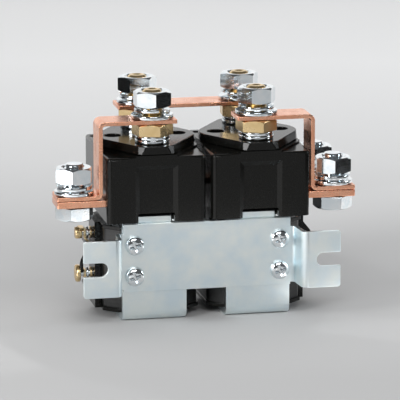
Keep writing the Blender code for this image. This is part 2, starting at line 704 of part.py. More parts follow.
def add_coil(side, unit, outward):
    """Bobbin flanges with the wrapped winding between them, and the terminal block outside."""
    def octagon(inset, z, extra_y=0.0):
        half_x = coil_half_width - inset
        half_y = coil_half_depth - inset - extra_y
        corners = mirrored_quarters([(half_x - COIL_CORNER_X, half_y), (half_x, half_y - COIL_CORNER_Y)])
        return [(x, y, z) for x, y in corners]

    wrap_low_z = coil_low_z + COIL_FLANGE_THICKNESS
    wrap_high_z = coil_high_z - COIL_FLANGE_THICKNESS
    bend_high_z = coil_low_z + YOKE_BEND_RADIUS
    body = lofted([octagon(0.0, coil_low_z, YOKE_BEND_RADIUS), octagon(0.0, bend_high_z),
                   octagon(0.0, wrap_low_z),
                   octagon(COIL_WRAP_INSET, wrap_low_z + COIL_WRAP_INSET),
                   octagon(COIL_WRAP_INSET, wrap_high_z - COIL_WRAP_INSET),
                   octagon(0.0, wrap_high_z), octagon(0.0, coil_high_z)])
    coil = add_object(f"{side}_coil", body, coil_wrap, unit)
    root = coil_half_width - COIL_WRAP_INSET * 2
    tip = block_face + BLOCK_LEDGE_REACH
    terminals = [(coil_terminal_low_z, COIL_TERMINAL_LARGE_HEAD_DIAMETER, COIL_TERMINAL_STAND),
                 (coil_terminal_high_z, COIL_TERMINAL_SMALL_HEAD_DIAMETER, COIL_TERMINAL_STAND)]
    profile = [(root, coil_low_z), (block_face, coil_low_z)]
    for terminal_z, head_diameter, stand in terminals:
        ledge_high_z = terminal_z - head_diameter / 2 - BLOCK_LEDGE_CLEARANCE
        ledge_low_z = ledge_high_z - BLOCK_LEDGE_THICKNESS
        profile += [(block_face, ledge_low_z - BLOCK_GUSSET_HEIGHT), (tip, ledge_low_z),
                    (tip, ledge_high_z), (block_face, ledge_high_z)]
    profile += [(block_face, coil_high_z), (root, coil_high_z)]
    if side == "right":
        # The bobbin of the right contactor stands upside down, its terminal screws driven home
        profile = [(x, coil_low_z + coil_high_z - z) for x, z in profile]
        terminals = [(coil_low_z + coil_high_z - z, diameter, 0.0)
                     for z, diameter, stand in reversed(terminals)]
    outline = [(x * outward, z) for x, z in profile]
    block = extruded([outline], -BLOCK_WIDTH / 2, BLOCK_WIDTH / 2, OUTLINE_TO_XZ)
    join(coil, block, "terminal_block")
    bore_radius = max(PLUNGER_DIAMETER, CORE_DIAMETER) / 2 + PLUNGER_CLEARANCE
    cut(coil, cylinder(bore_radius, coil_low_z - CUT_MARGIN, coil_high_z + CUT_MARGIN, steps=SMALL_STEPS),
        "bore")
    hole_radius = COIL_TERMINAL_SHANK_DIAMETER / 2 + SLOT_CLEARANCE
    hole_depth = COIL_TERMINAL_DEPTH + SLOT_CLEARANCE
    for label, (z, head_diameter, stand) in zip(("low", "high"), terminals):
        hole = cylinder(hole_radius, block_face - hole_depth, block_face + CUT_MARGIN, steps=SMALL_STEPS)
        hole.transform(Matrix.Rotation(math.radians(90.0 * outward), 4, "Y"))
        hole.transform(Matrix.Translation((0.0, -COIL_TERMINAL_OFFSET, z)))
        cut(coil, hole, f"terminal_hole_{label}")
        add_coil_terminal(f"{side}_coil_terminal_{label}", unit, outward, z, head_diameter, stand)


def add_coil_terminal(name, unit, outward, z, head_diameter, stand):
    """Brass screw with its two washers, lying along X, its thread seen where they stand apart."""
    shank = COIL_TERMINAL_SHANK_DIAMETER / 2
    washer = COIL_TERMINAL_WASHER_DIAMETER / 2
    head = head_diameter / 2
    seat = SEAT_GAP + COIL_TERMINAL_WASHER_THICKNESS
    lift = seat + stand
    head_low = lift + COIL_TERMINAL_WASHER_THICKNESS
    top = head_low + COIL_TERMINAL_HEAD_THICKNESS
    profile = [(0.0, top), (head, top), (head, head_low), (washer, head_low), (washer, lift)]
    if stand > 0.0:
        profile += [(shank, lift), (shank, seat), (washer, seat)]
    profile += [(washer, SEAT_GAP), (shank, SEAT_GAP),
                (shank, -COIL_TERMINAL_DEPTH), (0.0, -COIL_TERMINAL_DEPTH)]
    half = head + CUT_MARGIN
    slot_depth = COIL_TERMINAL_HEAD_THICKNESS / 2
    slot = box((-DRIVER_SLOT_WIDTH / 2, -half, top - slot_depth),
               (DRIVER_SLOT_WIDTH / 2, half, top + CUT_MARGIN))
    screw = add_object("coil_terminal", turned(profile, SMALL_STEPS))
    cut(screw, slot, "driver_slot")
    mesh = finished_mesh(screw)
    mesh.transform(Matrix.Rotation(math.radians(90.0 * outward), 4, "Y"))
    add_object(name, mesh, brass, unit, (block_face * outward, -COIL_TERMINAL_OFFSET, z))


def add_armature(side, unit):
    """Plunger, rod, contact spring and top nut, turned about the axis that they slide along."""
    plunger = PLUNGER_DIAMETER / 2
    rod = ROD_DIAMETER / 2
    nut = ROD_NUT_DIAMETER / 2
    nut_low_z = bridge_high_z + SEAT_GAP
    spring_top_z = bridge_low_z - SEAT_GAP
    profile = [(0.0, nut_low_z + ROD_NUT_HEIGHT), (nut, nut_low_z + ROD_NUT_HEIGHT), (nut, nut_low_z),
               (rod, nut_low_z)]
    wire = CONTACT_SPRING_WIRE / 2
    middle = CONTACT_SPRING_DIAMETER / 2 - wire
    for turn in range(CONTACT_SPRING_TURNS):
        centre_z = spring_top_z - wire - turn * CONTACT_SPRING_WIRE * 1.15
        bulge = arc((middle, centre_z), wire, 90.0, -90.0)
        profile += [(rod, bulge[0][1])] + bulge + [(rod, bulge[-1][1])]
    profile += [(rod, plunger_high_z), (plunger - PLUNGER_CHAMFER, plunger_high_z),
                (plunger, plunger_high_z - PLUNGER_CHAMFER), (plunger, coil_low_z + PLUNGER_CHAMFER),
                (plunger - PLUNGER_CHAMFER, coil_low_z), (0.0, coil_low_z)]
    add_object(f"{side}_armature", turned(profile, SMALL_STEPS), zinc, unit)


def add_contact_bridge(side, unit):
    """Copper strip across the chamber, with a contact button through each end."""
    half_length = chamber_half_depth - BRIDGE_END_CLEARANCE
    half_width = BRIDGE_WIDTH / 2
    corner = half_width / 2
    strip = rounded(rectangle(half_width, half_length), [corner] * 4)
    hole = circle((0.0, 0.0), rod_hole_radius, SMALL_STEPS)
    bridge = add_object(f"{side}_contact_bridge", extruded([strip, hole], bridge_low_z, bridge_high_z),
                        copper, unit)
    for y in both(stud_y):
        button = cylinder(BUTTON_DIAMETER / 2, bridge_low_z - BUTTON_HEIGHT,
                          bridge_high_z + BUTTON_HEIGHT, y=y, steps=SMALL_STEPS)
        join(bridge, button, f"button_{'rear' if y > 0 else 'front'}")


def add_return_spring(side, unit):
    """Helical wire between the plunger's top and the bottom of the pocket in the core."""
    curve = bpy.data.curves.new(f"{side}_return_spring", "CURVE")
    curve.dimensions = "3D"
    curve.bevel_depth = RETURN_SPRING_WIRE / 2
    curve.bevel_resolution = 2
    curve.use_fill_caps = True
    steps = round(RETURN_SPRING_TURNS * SPRING_STEPS_PER_TURN)
    radius = (RETURN_SPRING_DIAMETER - RETURN_SPRING_WIRE) / 2
    low = spring_low_z + RETURN_SPRING_WIRE / 2
    high = spring_high_z - RETURN_SPRING_WIRE / 2
    spline = curve.splines.new("POLY")
    spline.points.add(steps)
    for i, point in enumerate(spline.points):
        angle = 2.0 * math.pi * RETURN_SPRING_TURNS * i / steps
        z = low + (high - low) * i / steps
        point.co = (radius * math.cos(angle), radius * math.sin(angle), z, 1.0)
    add_object(f"{side}_return_spring", curve, spring_steel, unit)


# Contact chamber: housing and cover

def cover_outline(ledge=0.0):
    """A long diamond with blunt tips at the sides and a flat boss at the front and at the back.

    A ledge moves the four slanting sides outwards, for the rim of the housing under the cover.
    """
    half_x = HOUSING_WIDTH / 2
    half_y = HOUSING_DEPTH / 2
    tip = Vector((half_x, COVER_TIP_WIDTH / 2))
    boss = Vector((COVER_BOSS_WIDTH / 2, half_y - COVER_BOSS_FACET))
    slant = tip - boss
    outward = Vector((-slant.y, slant.x)).normalized() * ledge
    if ledge == 0.0:
        quarter = [(COVER_BOSS_FLAT / 2, half_y), tuple(boss), tuple(tip)]
        radii = [0.0, 0.0, COVER_TIP_RADIUS]
    else:
        start = boss + outward
        x_at_front = start.x + slant.x * (half_y - start.y) / slant.y
        y_at_side = start.y + slant.y * (half_x - start.x) / slant.x
        quarter = [(x_at_front, half_y), (half_x, y_at_side)]
        radii = [0.0, COVER_TIP_RADIUS]
    all_radii = (radii + radii[::-1]) * 2
    return rounded(mirrored_quarters(quarter), all_radii)


def bar_slots(side, unit_sign):
    """Boxes (low x, high x, y, half width) that the lower bars take up in one housing."""
    outside = HOUSING_WIDTH / 2 + CUT_MARGIN
    wide = BAR_WIDTH / 2 + SLOT_CLEARANCE
    neck = LOWER_BAR_NECK_WIDTH / 2 + SLOT_CLEARANCE
    shoulder = LOWER_BAR_SHOULDER - SLOT_CLEARANCE
    inner_end = LOWER_BAR_INNER_END + SLOT_CLEARANCE
    front = [(shoulder, outside, -stud_y, wide), (-inner_end, shoulder, -stud_y, neck)]
    if side == "left":
        return [(-high, -low, y, half) for low, high, y, half in front] + [
            (-inner_end, outside, stud_y, neck)]
    return front + [(shoulder, outside, stud_y, wide), (-outside, shoulder, stud_y, neck)]


def chamber():
    """The space inside the housing, with the two screw columns left standing in it."""
    quarter = [(CHAMBER_END_WIDTH / 2, chamber_half_depth), (chamber_half_width, COVER_TIP_WIDTH / 2)]
    prism = extruded([mirrored_quarters(quarter)], chamber_low_z, rim_high_z + CUT_MARGIN)
    space = add_object("chamber", prism)
    for x in both(screw_x):
        column = cylinder(screw_hole_radius + SCREW_COLUMN_WALL, chamber_low_z - CUT_MARGIN,
                          rim_high_z + 2 * CUT_MARGIN, x=x)
        cut(space, column, f"column_{'right' if x > 0 else 'left'}")
    return finished_mesh(space)


def channel(front):
    """The shallow recess down the middle of a face, with sloping sides and a sloping top."""
    def section(inset, y):
        half = CHANNEL_WIDTH / 2 - inset
        high = housing_high_z - CHANNEL_TOP_MARGIN - inset
        low = housing_low_z - CUT_MARGIN
        return [(-half, y, low), (half, y, low), (half, y, high), (-half, y, high)]

    face = HOUSING_DEPTH / 2
    overshoot = CUT_MARGIN * CHANNEL_SLOPE / CHANNEL_DEPTH
    outer = section(-overshoot, front * (face + CUT_MARGIN))
    inner = section(CHANNEL_SLOPE, front * (face - CHANNEL_DEPTH))
    return lofted([outer, inner])


def add_housing(side, unit):
    half_x = HOUSING_WIDTH / 2
    half_y = HOUSING_DEPTH / 2
    block = rounded(rectangle(half_x, half_y), [HOUSING_CORNER_RADIUS] * 4)
    housing = add_object(f"{side}_housing", extruded([block], housing_low_z, rim_high_z),
                         black_moulding, unit)
    around = rectangle(half_x + CUT_MARGIN, half_y + CUT_MARGIN)
    shoulder = extruded([around, cover_outline(RIM_LEDGE)], housing_high_z, rim_high_z + CUT_MARGIN)
    cut(housing, shoulder, "shoulder")
    cut(housing, chamber(), "chamber")
    notch_y = yoke_front - YOKE_THICKNESS - SLOT_CLEARANCE
    notch_x = TONGUE_WIDTH / 2 + NOTCH_SIDE_CLEARANCE
    for front, face in ((-1.0, "front"), (1.0, "rear")):
        cut(housing, channel(front), f"{face}_channel")
        near = front * notch_y
        far = front * (half_y + CUT_MARGIN)
        low = (-notch_x, min(near, far), housing_low_z - CUT_MARGIN)
        high = (notch_x, max(near, far), tongue_high_z + NOTCH_TOP_CLEARANCE)
        cut(housing, box(low, high), f"{face}_notch")
    for i, (low_x, high_x, y, half_width) in enumerate(bar_slots(side, unit)):
        low = (low_x, y - half_width, lower_bar_low_z - SLOT_CLEARANCE)
        high = (high_x, y + half_width, lower_bar_high_z + SLOT_CLEARANCE)
        cut(housing, box(low, high), f"bar_slot_{i}")
    narrow = SCREW_SHANK_DIAMETER / 2 + HOLE_CLEARANCE
    wide = screw_hole_radius
    top = rim_high_z + CUT_MARGIN
    bottom = housing_low_z - CUT_MARGIN
    profile = [(0.0, top), (wide, top), (wide, screw_ledge_z), (narrow, screw_ledge_z),
               (narrow, bottom), (0.0, bottom)]
    for x in both(screw_x):
        hole = turned(profile)
        hole.transform(Matrix.Translation((x, 0.0, 0.0)))
        cut(housing, hole, f"screw_hole_{'right' if x > 0 else 'left'}")
    pocket = cylinder(SHOULDER_POCKET_DIAMETER / 2, housing_high_z - SHOULDER_POCKET_DEPTH,
                      housing_high_z + CUT_MARGIN, SHOULDER_POCKET_SIDE_DISTANCE - half_x,
                      half_y - SHOULDER_POCKET_END_DISTANCE, SMALL_STEPS)
    cut(housing, pocket, "shoulder_pocket")
    cut(housing, cylinder(rod_hole_radius + SLOT_CLEARANCE, housing_low_z - CUT_MARGIN,
                          chamber_low_z + CUT_MARGIN, steps=SMALL_STEPS), "rod_hole")


def add_cover(side, unit):
    holes = [circle((0.0, y), thread_hole_radius) for y in both(stud_y)]
    holes += [circle((x, 0.0), screw_hole_radius) for x in both(screw_x)]
    mesh = extruded([cover_outline()] + holes, cover_low_z, cover_high_z)
    add_object(f"{side}_cover", mesh, black_moulding, unit)


# Copper bars

def bar_outline(low_x, high_x, hole_places):
    half = BAR_WIDTH / 2
    corners = [(low_x, -half), (high_x, -half), (high_x, half), (low_x, half)]
    return [corners] + [circle((x, 0.0), thread_hole_radius) for x in hole_places]


def add_rear_link_bar():
    end = unit_x + BAR_END_MARGIN
    mesh = extruded(bar_outline(-end, end, both(unit_x)), top_bar_low_z, top_bar_high_z)
    add_object("rear_link_bar", mesh, copper, frame_empty, (0.0, stud_y, 0.0))


def add_front_bar(side, outward):
    """From the front stud outwards over the housing, down its side, and out again to the bolt."""
    half = BAR_THICKNESS / 2
    path = [(unit_x - BAR_END_MARGIN, top_bar_low_z + half), (leg_inner_x + half, top_bar_low_z + half),
            (leg_inner_x + half, flange_low_z + half), (terminal_x + BAR_FLANGE_MARGIN, flange_low_z + half)]
    outline = strip_outline([(x * outward, z) for x, z in path], BAR_THICKNESS, BAR_BEND_RADIUS)
    mesh = extruded([outline], -BAR_WIDTH / 2, BAR_WIDTH / 2, OUTLINE_TO_XZ)
    bar = add_object(f"front_{side}_bar", mesh, copper, frame_empty, (0.0, -stud_y, 0.0))
    for label, x, z in (("stud", unit_x, top_bar_low_z), ("bolt", terminal_x, flange_low_z)):
        hole = cylinder(thread_hole_radius, z - CUT_MARGIN, z + BAR_THICKNESS + CUT_MARGIN, x=x * outward)
        cut(bar, hole, f"{label}_hole")


def add_lower_bar(name, outward, shoulder_x, inner_x, y):
    """Flat bar from a terminal into the chamber, where a narrower tongue is the fixed contact."""
    half = BAR_WIDTH / 2
    neck = LOWER_BAR_NECK_WIDTH / 2
    outer_x = terminal_x + BAR_FLANGE_MARGIN
    corners = [(inner_x, -neck), (shoulder_x, -neck), (shoulder_x, -half), (outer_x, -half),
               (outer_x, half), (shoulder_x, half), (shoulder_x, neck), (inner_x, neck)]
    outline = [(x * outward, corner_y) for x, corner_y in corners]
    hole = circle((terminal_x * outward, 0.0), thread_hole_radius)
    mesh = extruded([outline, hole], lower_bar_low_z, lower_bar_high_z)
    add_object(name, mesh, copper, frame_empty, (0.0, y, 0.0))


# Mounting bracket

def bracket_blank():
    """Front view of the bracket: the plate, and on each side an ear with its open slot."""
    plate = bracket_half_width
    strip_low_z = bracket_low_z + BRACKET_STRIP_LOW_STEP
    strip_high_z = bracket_high_z - BRACKET_STRIP_HIGH_STEP
    middle_z = (strip_low_z + strip_high_z) / 2
    slot = EAR_SLOT_WIDTH / 2
    slot_centre = ear_end - EAR_SLOT_LENGTH + slot
    corner = BRACKET_CORNER_RADIUS
    radii = [0.0, corner, 0.0, corner / 2, 0.0]
    lower = rounded([(ear_end, middle_z), (ear_end, strip_low_z), (plate, strip_low_z),
                     (plate, bracket_low_z), (0.0, bracket_low_z)], radii, closed=False)[1:-1]
    upper = rounded([(ear_end, middle_z), (ear_end, strip_high_z), (plate, strip_high_z),
                     (plate, bracket_high_z), (0.0, bracket_high_z)], radii, closed=False)[1:-1]
    slot_edge = arc((slot_centre, middle_z), slot, 270.0, 90.0, 2 * ARC_STEPS)
    right = lower[::-1] + [(ear_end, middle_z - slot)] + slot_edge + [(ear_end, middle_z + slot)] + upper
    return right + [(-x, z) for x, z in reversed(right)]


def bracket_screw(x, z):
    """Pan head in front of the plate, and the shank that runs through plate and yoke."""
    radius = BRACKET_SCREW_HEAD_DIAMETER / 2
    height = BRACKET_SCREW_HEAD_HEIGHT
    dome = [(radius * math.sin(angle), height * (0.35 + 0.65 * math.cos(angle)))
            for angle in (math.radians(18.0 * i) for i in range(6))]
    shank = BRACKET_SCREW_SHANK_DIAMETER / 2
    shank_end = -(BRACKET_THICKNESS + SEAT_GAP + YOKE_THICKNESS - SEAT_GAP)
    embed = BRACKET_THICKNESS / 3
    profile = dome + [(radius, -embed), (shank, -embed), (shank, shank_end), (0.0, shank_end)]
    screw = add_object("bracket_screw", turned(profile, SMALL_STEPS))
    long = CROSS_RECESS_LENGTH / 2
    narrow = CROSS_RECESS_WIDTH / 2
    floor = height - CROSS_RECESS_DEPTH
    cut(screw, box((-long, -narrow, floor), (long, narrow, height + CUT_MARGIN)), "recess_across")
    cut(screw, box((-narrow, -long, floor), (narrow, long, height + CUT_MARGIN)), "recess_along")
    mesh = finished_mesh(screw)
    mesh.transform(Matrix.Rotation(math.radians(20.0), 4, "Z"))
    mesh.transform(AXIS_TO_FRONT)
    mesh.transform(Matrix.Translation((x, -bracket_front, z)))
    return mesh


def add_bracket():
    """The bend profile seen from above, kept inside the outline of the blank seen from the front."""
    half = BRACKET_THICKNESS / 2
    plate_y = -bracket_back - half
    ear_y = -ear_front + half
    near = bracket_half_width + BRACKET_WEB_OFFSET
    far = near + BRACKET_WEB_LEAN
    end = ear_end + CUT_MARGIN
    path = [(-end, ear_y), (-far, ear_y), (-near, plate_y), (near, plate_y), (far, ear_y), (end, ear_y)]
    outline = strip_outline(path, BRACKET_THICKNESS, BRACKET_BEND_RADIUS)
    low = bracket_low_z - CUT_MARGIN
    high = bracket_high_z + CUT_MARGIN
    bracket = add_object("mounting_bracket", extruded([outline], low, high), zinc, frame_empty)
    blank = extruded([bracket_blank()], yoke_front - CUT_MARGIN, ear_front + CUT_MARGIN, OUTLINE_TO_XZ)
    keep_inside(bracket, blank, "blank")
    for side, outward in (("left", -1.0), ("right", 1.0)):
        x = (unit_x + BRACKET_SCREW_OFFSET) * outward
        for label, z in (("low", bracket_screw_low_z), ("high", bracket_screw_high_z)):
            join(bracket, bracket_screw(x, z), f"screw_{side}_{label}")


# Assembly

def add_contactor(side, outward):
    unit = bpy.data.objects.new(f"{side}_contactor", None)
    parts.objects.link(unit)
    unit.parent = frame_empty
    unit.location = (unit_x * outward, 0.0, 0.0)
    add_yoke(side, unit)
    add_pole_plate(side, unit)
    add_coil(side, unit, outward)
    add_armature(side, unit)
    add_contact_bridge(side, unit)
    add_return_spring(side, unit)
    add_housing(side, unit)
    add_cover(side, unit)
    add_front_bar(side, outward)


add_contactor("left", -1.0)
add_contactor("right", 1.0)

add_lower_bar("front_left_lower_bar", -1.0, unit_x + LOWER_BAR_SHOULDER, unit_x - LOWER_BAR_INNER_END,
              -stud_y)
add_lower_bar("front_right_lower_bar", 1.0, unit_x + LOWER_BAR_SHOULDER, unit_x - LOWER_BAR_INNER_END,
              -stud_y)
add_lower_bar("rear_lower_bar", 1.0, unit_x + LOWER_BAR_SHOULDER, -unit_x - LOWER_BAR_INNER_END, stud_y)
add_rear_link_bar()
add_bracket()

add_top_terminal("front_left", -unit_x, -stud_y, 41.5, 289.0, 30.5)
add_top_terminal("front_right", unit_x, -stud_y, 38.0, 209.0, 4.5)
add_top_terminal("rear_left", -unit_x, stud_y, 15.0, 170.0, 58.5)
add_top_terminal("rear_right", unit_x, stud_y, 25.0, 210.0, 3.5)

add_lower_terminal("lower_left", -terminal_x, -stud_y, flange_high_z, 10.0, 180.0, 16.5)
add_lower_terminal("lower_right", terminal_x, -stud_y, flange_high_z, 42.5, 160.0, 23.5)
add_lower_terminal("lower_rear", terminal_x, stud_y, lower_bar_high_z, 5.0, 150.0, 25.0)
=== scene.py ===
import json
import math

import bmesh
import bpy
from mathutils import Matrix, Vector


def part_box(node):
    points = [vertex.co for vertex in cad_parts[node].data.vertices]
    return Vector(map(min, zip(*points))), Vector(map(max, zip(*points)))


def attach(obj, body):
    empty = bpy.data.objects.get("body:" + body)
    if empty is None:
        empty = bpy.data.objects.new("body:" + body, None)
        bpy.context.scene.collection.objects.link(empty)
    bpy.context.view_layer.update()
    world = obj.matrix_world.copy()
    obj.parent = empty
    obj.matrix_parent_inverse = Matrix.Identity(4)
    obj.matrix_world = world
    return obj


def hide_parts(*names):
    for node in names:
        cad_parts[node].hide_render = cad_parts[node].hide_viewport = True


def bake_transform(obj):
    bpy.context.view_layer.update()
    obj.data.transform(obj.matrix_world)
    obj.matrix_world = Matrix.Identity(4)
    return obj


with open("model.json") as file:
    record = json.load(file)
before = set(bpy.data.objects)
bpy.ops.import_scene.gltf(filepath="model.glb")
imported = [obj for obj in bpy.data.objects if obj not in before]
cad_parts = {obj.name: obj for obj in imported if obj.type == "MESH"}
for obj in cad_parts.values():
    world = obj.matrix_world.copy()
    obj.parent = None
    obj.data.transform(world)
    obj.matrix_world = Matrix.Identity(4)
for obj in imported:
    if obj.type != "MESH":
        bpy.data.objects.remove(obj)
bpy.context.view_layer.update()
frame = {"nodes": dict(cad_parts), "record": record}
bpy.ops.object.select_all(action="DESELECT")
mm = 0.001
past = 1 * mm  # how far a cutting piece reaches past what it cuts
base = "contactor_base"
print("frame loaded:", len(frame["nodes"]), "nodes")


class Wave:
    # a socket that can be used in a sum
    def __init__(self, finish, socket):
        self.finish = finish
        self.socket = socket

    def maths(self, operation, first, second):
        return self.finish.node("ShaderNodeMath", {"operation": operation}, {0: first, 1: second})

    def __add__(self, other):
        return self.maths("ADD", self, other)

    def __radd__(self, other):
        return self.maths("ADD", other, self)

    def __sub__(self, other):
        return self.maths("SUBTRACT", self, other)

    def __rsub__(self, other):
        return self.maths("SUBTRACT", other, self)

    def __mul__(self, other):
        return self.maths("MULTIPLY", self, other)

    def __rmul__(self, other):
        return self.maths("MULTIPLY", other, self)


class Finish:
    def __init__(self, name, fixed):
        self.material = bpy.data.materials.new(name)
        self.material.use_nodes = True
        self.tree = self.material.node_tree
        self.shader = self.tree.nodes["Principled BSDF"]
        for socket, value in fixed.items():
            self.shader.inputs[socket].default_value = value

    def node(self, kind, settings=None, inputs=None, output=0):
        made = self.tree.nodes.new(kind)
        for key, value in (settings or {}).items():
            if key == "stops":
                while len(made.color_ramp.elements) < len(value):
                    made.color_ramp.elements.new(0.5)
                for element, (position, colour) in zip(made.color_ramp.elements, value):
                    element.position = position
                    element.color = colour
            else:
                setattr(made, key, value)
        for key, value in (inputs or {}).items():
            if isinstance(value, Wave):
                self.tree.links.new(value.socket, made.inputs[key])
            else:
                made.inputs[key].default_value = value
        return Wave(self, made.outputs[output])

    def place(self, scale=(1, 1, 1), turn=(0, 0, 0)):
        seen = self.node("ShaderNodeTexCoord", output="Object")
        return self.node("ShaderNodeMapping", {}, {"Vector": seen, "Scale": scale, "Rotation": turn})

    def noise(self, size, stretch=(1, 1, 1), detail=3.0, roughness=0.55):
        # size is the width of one spot in metres
        place = self.place(stretch)
        return self.node("ShaderNodeTexNoise", {},
                         {"Vector": place, "Scale": 1 / size, "Detail": detail, "Roughness": roughness})

    def blendOf(self, share, first, second):
        return self.node("ShaderNodeMix", {"data_type": "RGBA"}, {0: share, 6: first, 7: second},
                         output=2)

    def clear(self, wave, low, high):
        # nothing below low, all above high
        return self.node("ShaderNodeMapRange", {}, {"Value": wave, "From Min": low, "From Max": high})

    def feed(self, socket, wave):
        self.tree.links.new(wave.socket, self.shader.inputs[socket])

    def relief(self, height, depth):
        self.feed("Normal", self.node("ShaderNodeBump", {},
                                      {"Height": height, "Strength": 1.0, "Distance": depth}))


def colour(red, green, blue):
    return (red, green, blue, 1)


def zincFinish(name, look):
    finish = Finish(name, {"Metallic": 1.0})
    cloud = finish.noise(look["cloud"], detail=4.0)
    grain = finish.noise(look["grain"], detail=2.0)
    tint = finish.clear(cloud, 0.35, 0.68)
    finish.feed("Base Color", finish.blendOf(tint, look["pale"], look["blue"]))
    uneven = look["spread"] * (grain - 0.5) + look["spread"] * (cloud - 0.5)
    finish.feed("Roughness", look["roughness"] + uneven)
    finish.relief(grain, look["relief"])
    return finish


brightZinc = zincFinish("bright_zinc", {
    "pale": colour(0.88, 0.90, 0.91), "blue": colour(0.74, 0.81, 0.85), "roughness": 0.11,
    "spread": 0.08, "cloud": 3.0 * mm, "grain": 0.45 * mm, "relief": 0.008 * mm})
sheetZinc = zincFinish("sheet_zinc", {
    "pale": colour(0.90, 0.96, 0.95), "blue": colour(0.78, 0.89, 0.94), "roughness": 0.34,
    "spread": 0.10, "cloud": 9.0 * mm, "grain": 0.35 * mm, "relief": 0.010 * mm})


def barFinish(name, look):
    # drawn bar: fine lines along the grain, dull patches where hands touched it
    finish = Finish(name, {"Metallic": 1.0})
    lines = finish.noise(0.15 * mm, stretch=look["stretch"], detail=3.0)
    patches = finish.noise(6.0 * mm, detail=4.0)
    dull = finish.clear(patches, 0.42, 0.75)
    finish.feed("Base Color", finish.blendOf(dull, look["bright"], look["dull"]))
    finish.feed("Roughness", look["roughness"] + 0.10 * dull + 0.12 * (lines - 0.5))
    finish.relief(lines, look["relief"])
    return finish


copper = barFinish("copper", {
    "bright": colour(0.95, 0.50, 0.33), "dull": colour(0.86, 0.37, 0.22), "roughness": 0.25,
    "stretch": (0.03, 1, 1), "relief": 0.004 * mm})
brass = barFinish("brass", {
    "bright": colour(0.82, 0.62, 0.34), "dull": colour(0.68, 0.49, 0.24), "roughness": 0.27,
    "stretch": (1, 1, 0.2), "relief": 0.006 * mm})


def mouldingFinish(name, look):
    finish = Finish(name, {"Metallic": 0.0, "Specular IOR Level": look["specular"]})
    skin = finish.noise(look["skin"], detail=2.0)
    dust = finish.noise(0.6 * mm, detail=5.0)
    finish.feed("Base Color",
                finish.blendOf(finish.clear(dust, 0.45, 0.9), look["black"], look["worn"]))
    finish.feed("Roughness", look["roughness"] + 0.10 * (dust - 0.5))
    finish.relief(skin, look["relief"])
    return finish


blackMoulding = mouldingFinish("black_moulding", {
    "black": colour(0.0048, 0.0048, 0.0042), "worn": colour(0.010, 0.010, 0.009), "roughness": 0.15,
    "specular": 0.22, "skin": 1.2 * mm, "relief": 0.004 * mm})


def wrapFinish(look):
    # smooth wrapping: the turns below show through as faint level lines
    finish = Finish("coil_wrap", {"Metallic": 0.0, "Specular IOR Level": 0.5})
    turns = finish.node("ShaderNodeTexWave", {"bands_direction": "Z", "wave_profile": "SIN"},
                        {"Vector": finish.place(), "Scale": look["turns"], "Distortion": 0.6,
                         "Detail": 1.0})
    spots = finish.noise(2.5 * mm, detail=4.0)
    finish.feed("Base Color",
                finish.blendOf(finish.clear(spots, 0.4, 0.8), look["black"], look["grey"]))
    finish.feed("Roughness", look["roughness"] + 0.15 * (spots - 0.5))
    finish.relief(turns + 0.6 * spots, look["relief"])
    return finish


coilWrap = wrapFinish({"black": colour(0.009, 0.009, 0.009), "grey": colour(0.018, 0.018, 0.017),
                       "turns": 220.0, "roughness": 0.34, "relief": 0.02 * mm})
springSteel = barFinish("spring_steel", {
    "bright": colour(0.55, 0.55, 0.56), "dull": colour(0.38, 0.38, 0.39), "roughness": 0.30,
    "stretch": (1, 1, 1), "relief": 0.002 * mm})
finishOf = {"zinc_plate": brightZinc, "copper": copper, "brass": brass, "black_moulding": blackMoulding,
            "coil_wrap": coilWrap, "spring_steel": springSteel}
print("finishes made:", len(bpy.data.materials))


def leaveEdit():
    if bpy.context.mode != "OBJECT":
        bpy.ops.object.mode_set(mode="OBJECT")


def focusOn(piece):
    leaveEdit()
    bpy.ops.object.select_all(action="DESELECT")
    piece.select_set(True)
    bpy.context.view_layer.objects.active = piece


def bake(piece):
    focusOn(piece)
    bpy.ops.object.transform_apply(location=True, rotation=True, scale=True)


def settle(name):
    # names what was just added and puts its place into its mesh
    piece = bpy.context.object
    piece.name = name
    piece.data.name = name
    bake(piece)
    return piece


def joinTo(piece, *others):
    focusOn(piece)
    for other in others:
        other.select_set(True)
    bpy.ops.object.join()


def block(name, low, high):
    leaveEdit()
    low, high = Vector(low), Vector(high)
    bpy.ops.mesh.primitive_cube_add(size=1, location=(low + high) / 2, scale=high - low)
    return settle(name)


def rod(name, radius, start, end, sides=48):
    leaveEdit()
    start, end = Vector(start), Vector(end)
    turn = (end - start).to_track_quat("Z", "Y").to_euler()
    bpy.ops.mesh.primitive_cylinder_add(vertices=sides, radius=radius, depth=(end - start).length,
                                        location=(start + end) / 2, rotation=turn)
    return settle(name)


def pick(piece, kind, test):
    if bpy.context.mode == "OBJECT":
        focusOn(piece)
        bpy.ops.object.mode_set(mode="EDIT")
    bpy.ops.mesh.select_mode(type=kind)
    bpy.ops.mesh.select_all(action="DESELECT")
    shape = bmesh.from_edit_mesh(piece.data)
    shape.normal_update()
    for part in {"VERT": shape.verts, "EDGE": shape.edges, "FACE": shape.faces}[kind]:
        if test(part):
            part.select_set(True)
    shape.select_flush_mode()
    bmesh.update_edit_mesh(piece.data)


def middle(edge):
    return (edge.verts[0].co + edge.verts[1].co) / 2


def runs(edge, axis):
    # true for an edge that lies along an axis: 0, 1 or 2
    along = edge.verts[1].co - edge.verts[0].co
    return abs(along[axis]) > 0.999 * along.length


def near(value, wanted, reach=0.02 * mm):
    return abs(value - wanted) < reach


def extrude(offset):
    bpy.ops.mesh.extrude_region_move(TRANSFORM_OT_translate={"value": Vector(offset)})


def resize(factors, centre):
    bpy.ops.transform.resize(value=factors, center_override=centre)


def move(offset):
    bpy.ops.transform.translate(value=Vector(offset))


def faceOut(piece):
    pick(piece, "FACE", lambda face: True)
    bpy.ops.mesh.remove_doubles(threshold=0.0005 * mm)
    bpy.ops.mesh.normals_make_consistent(inside=False)
    leaveEdit()


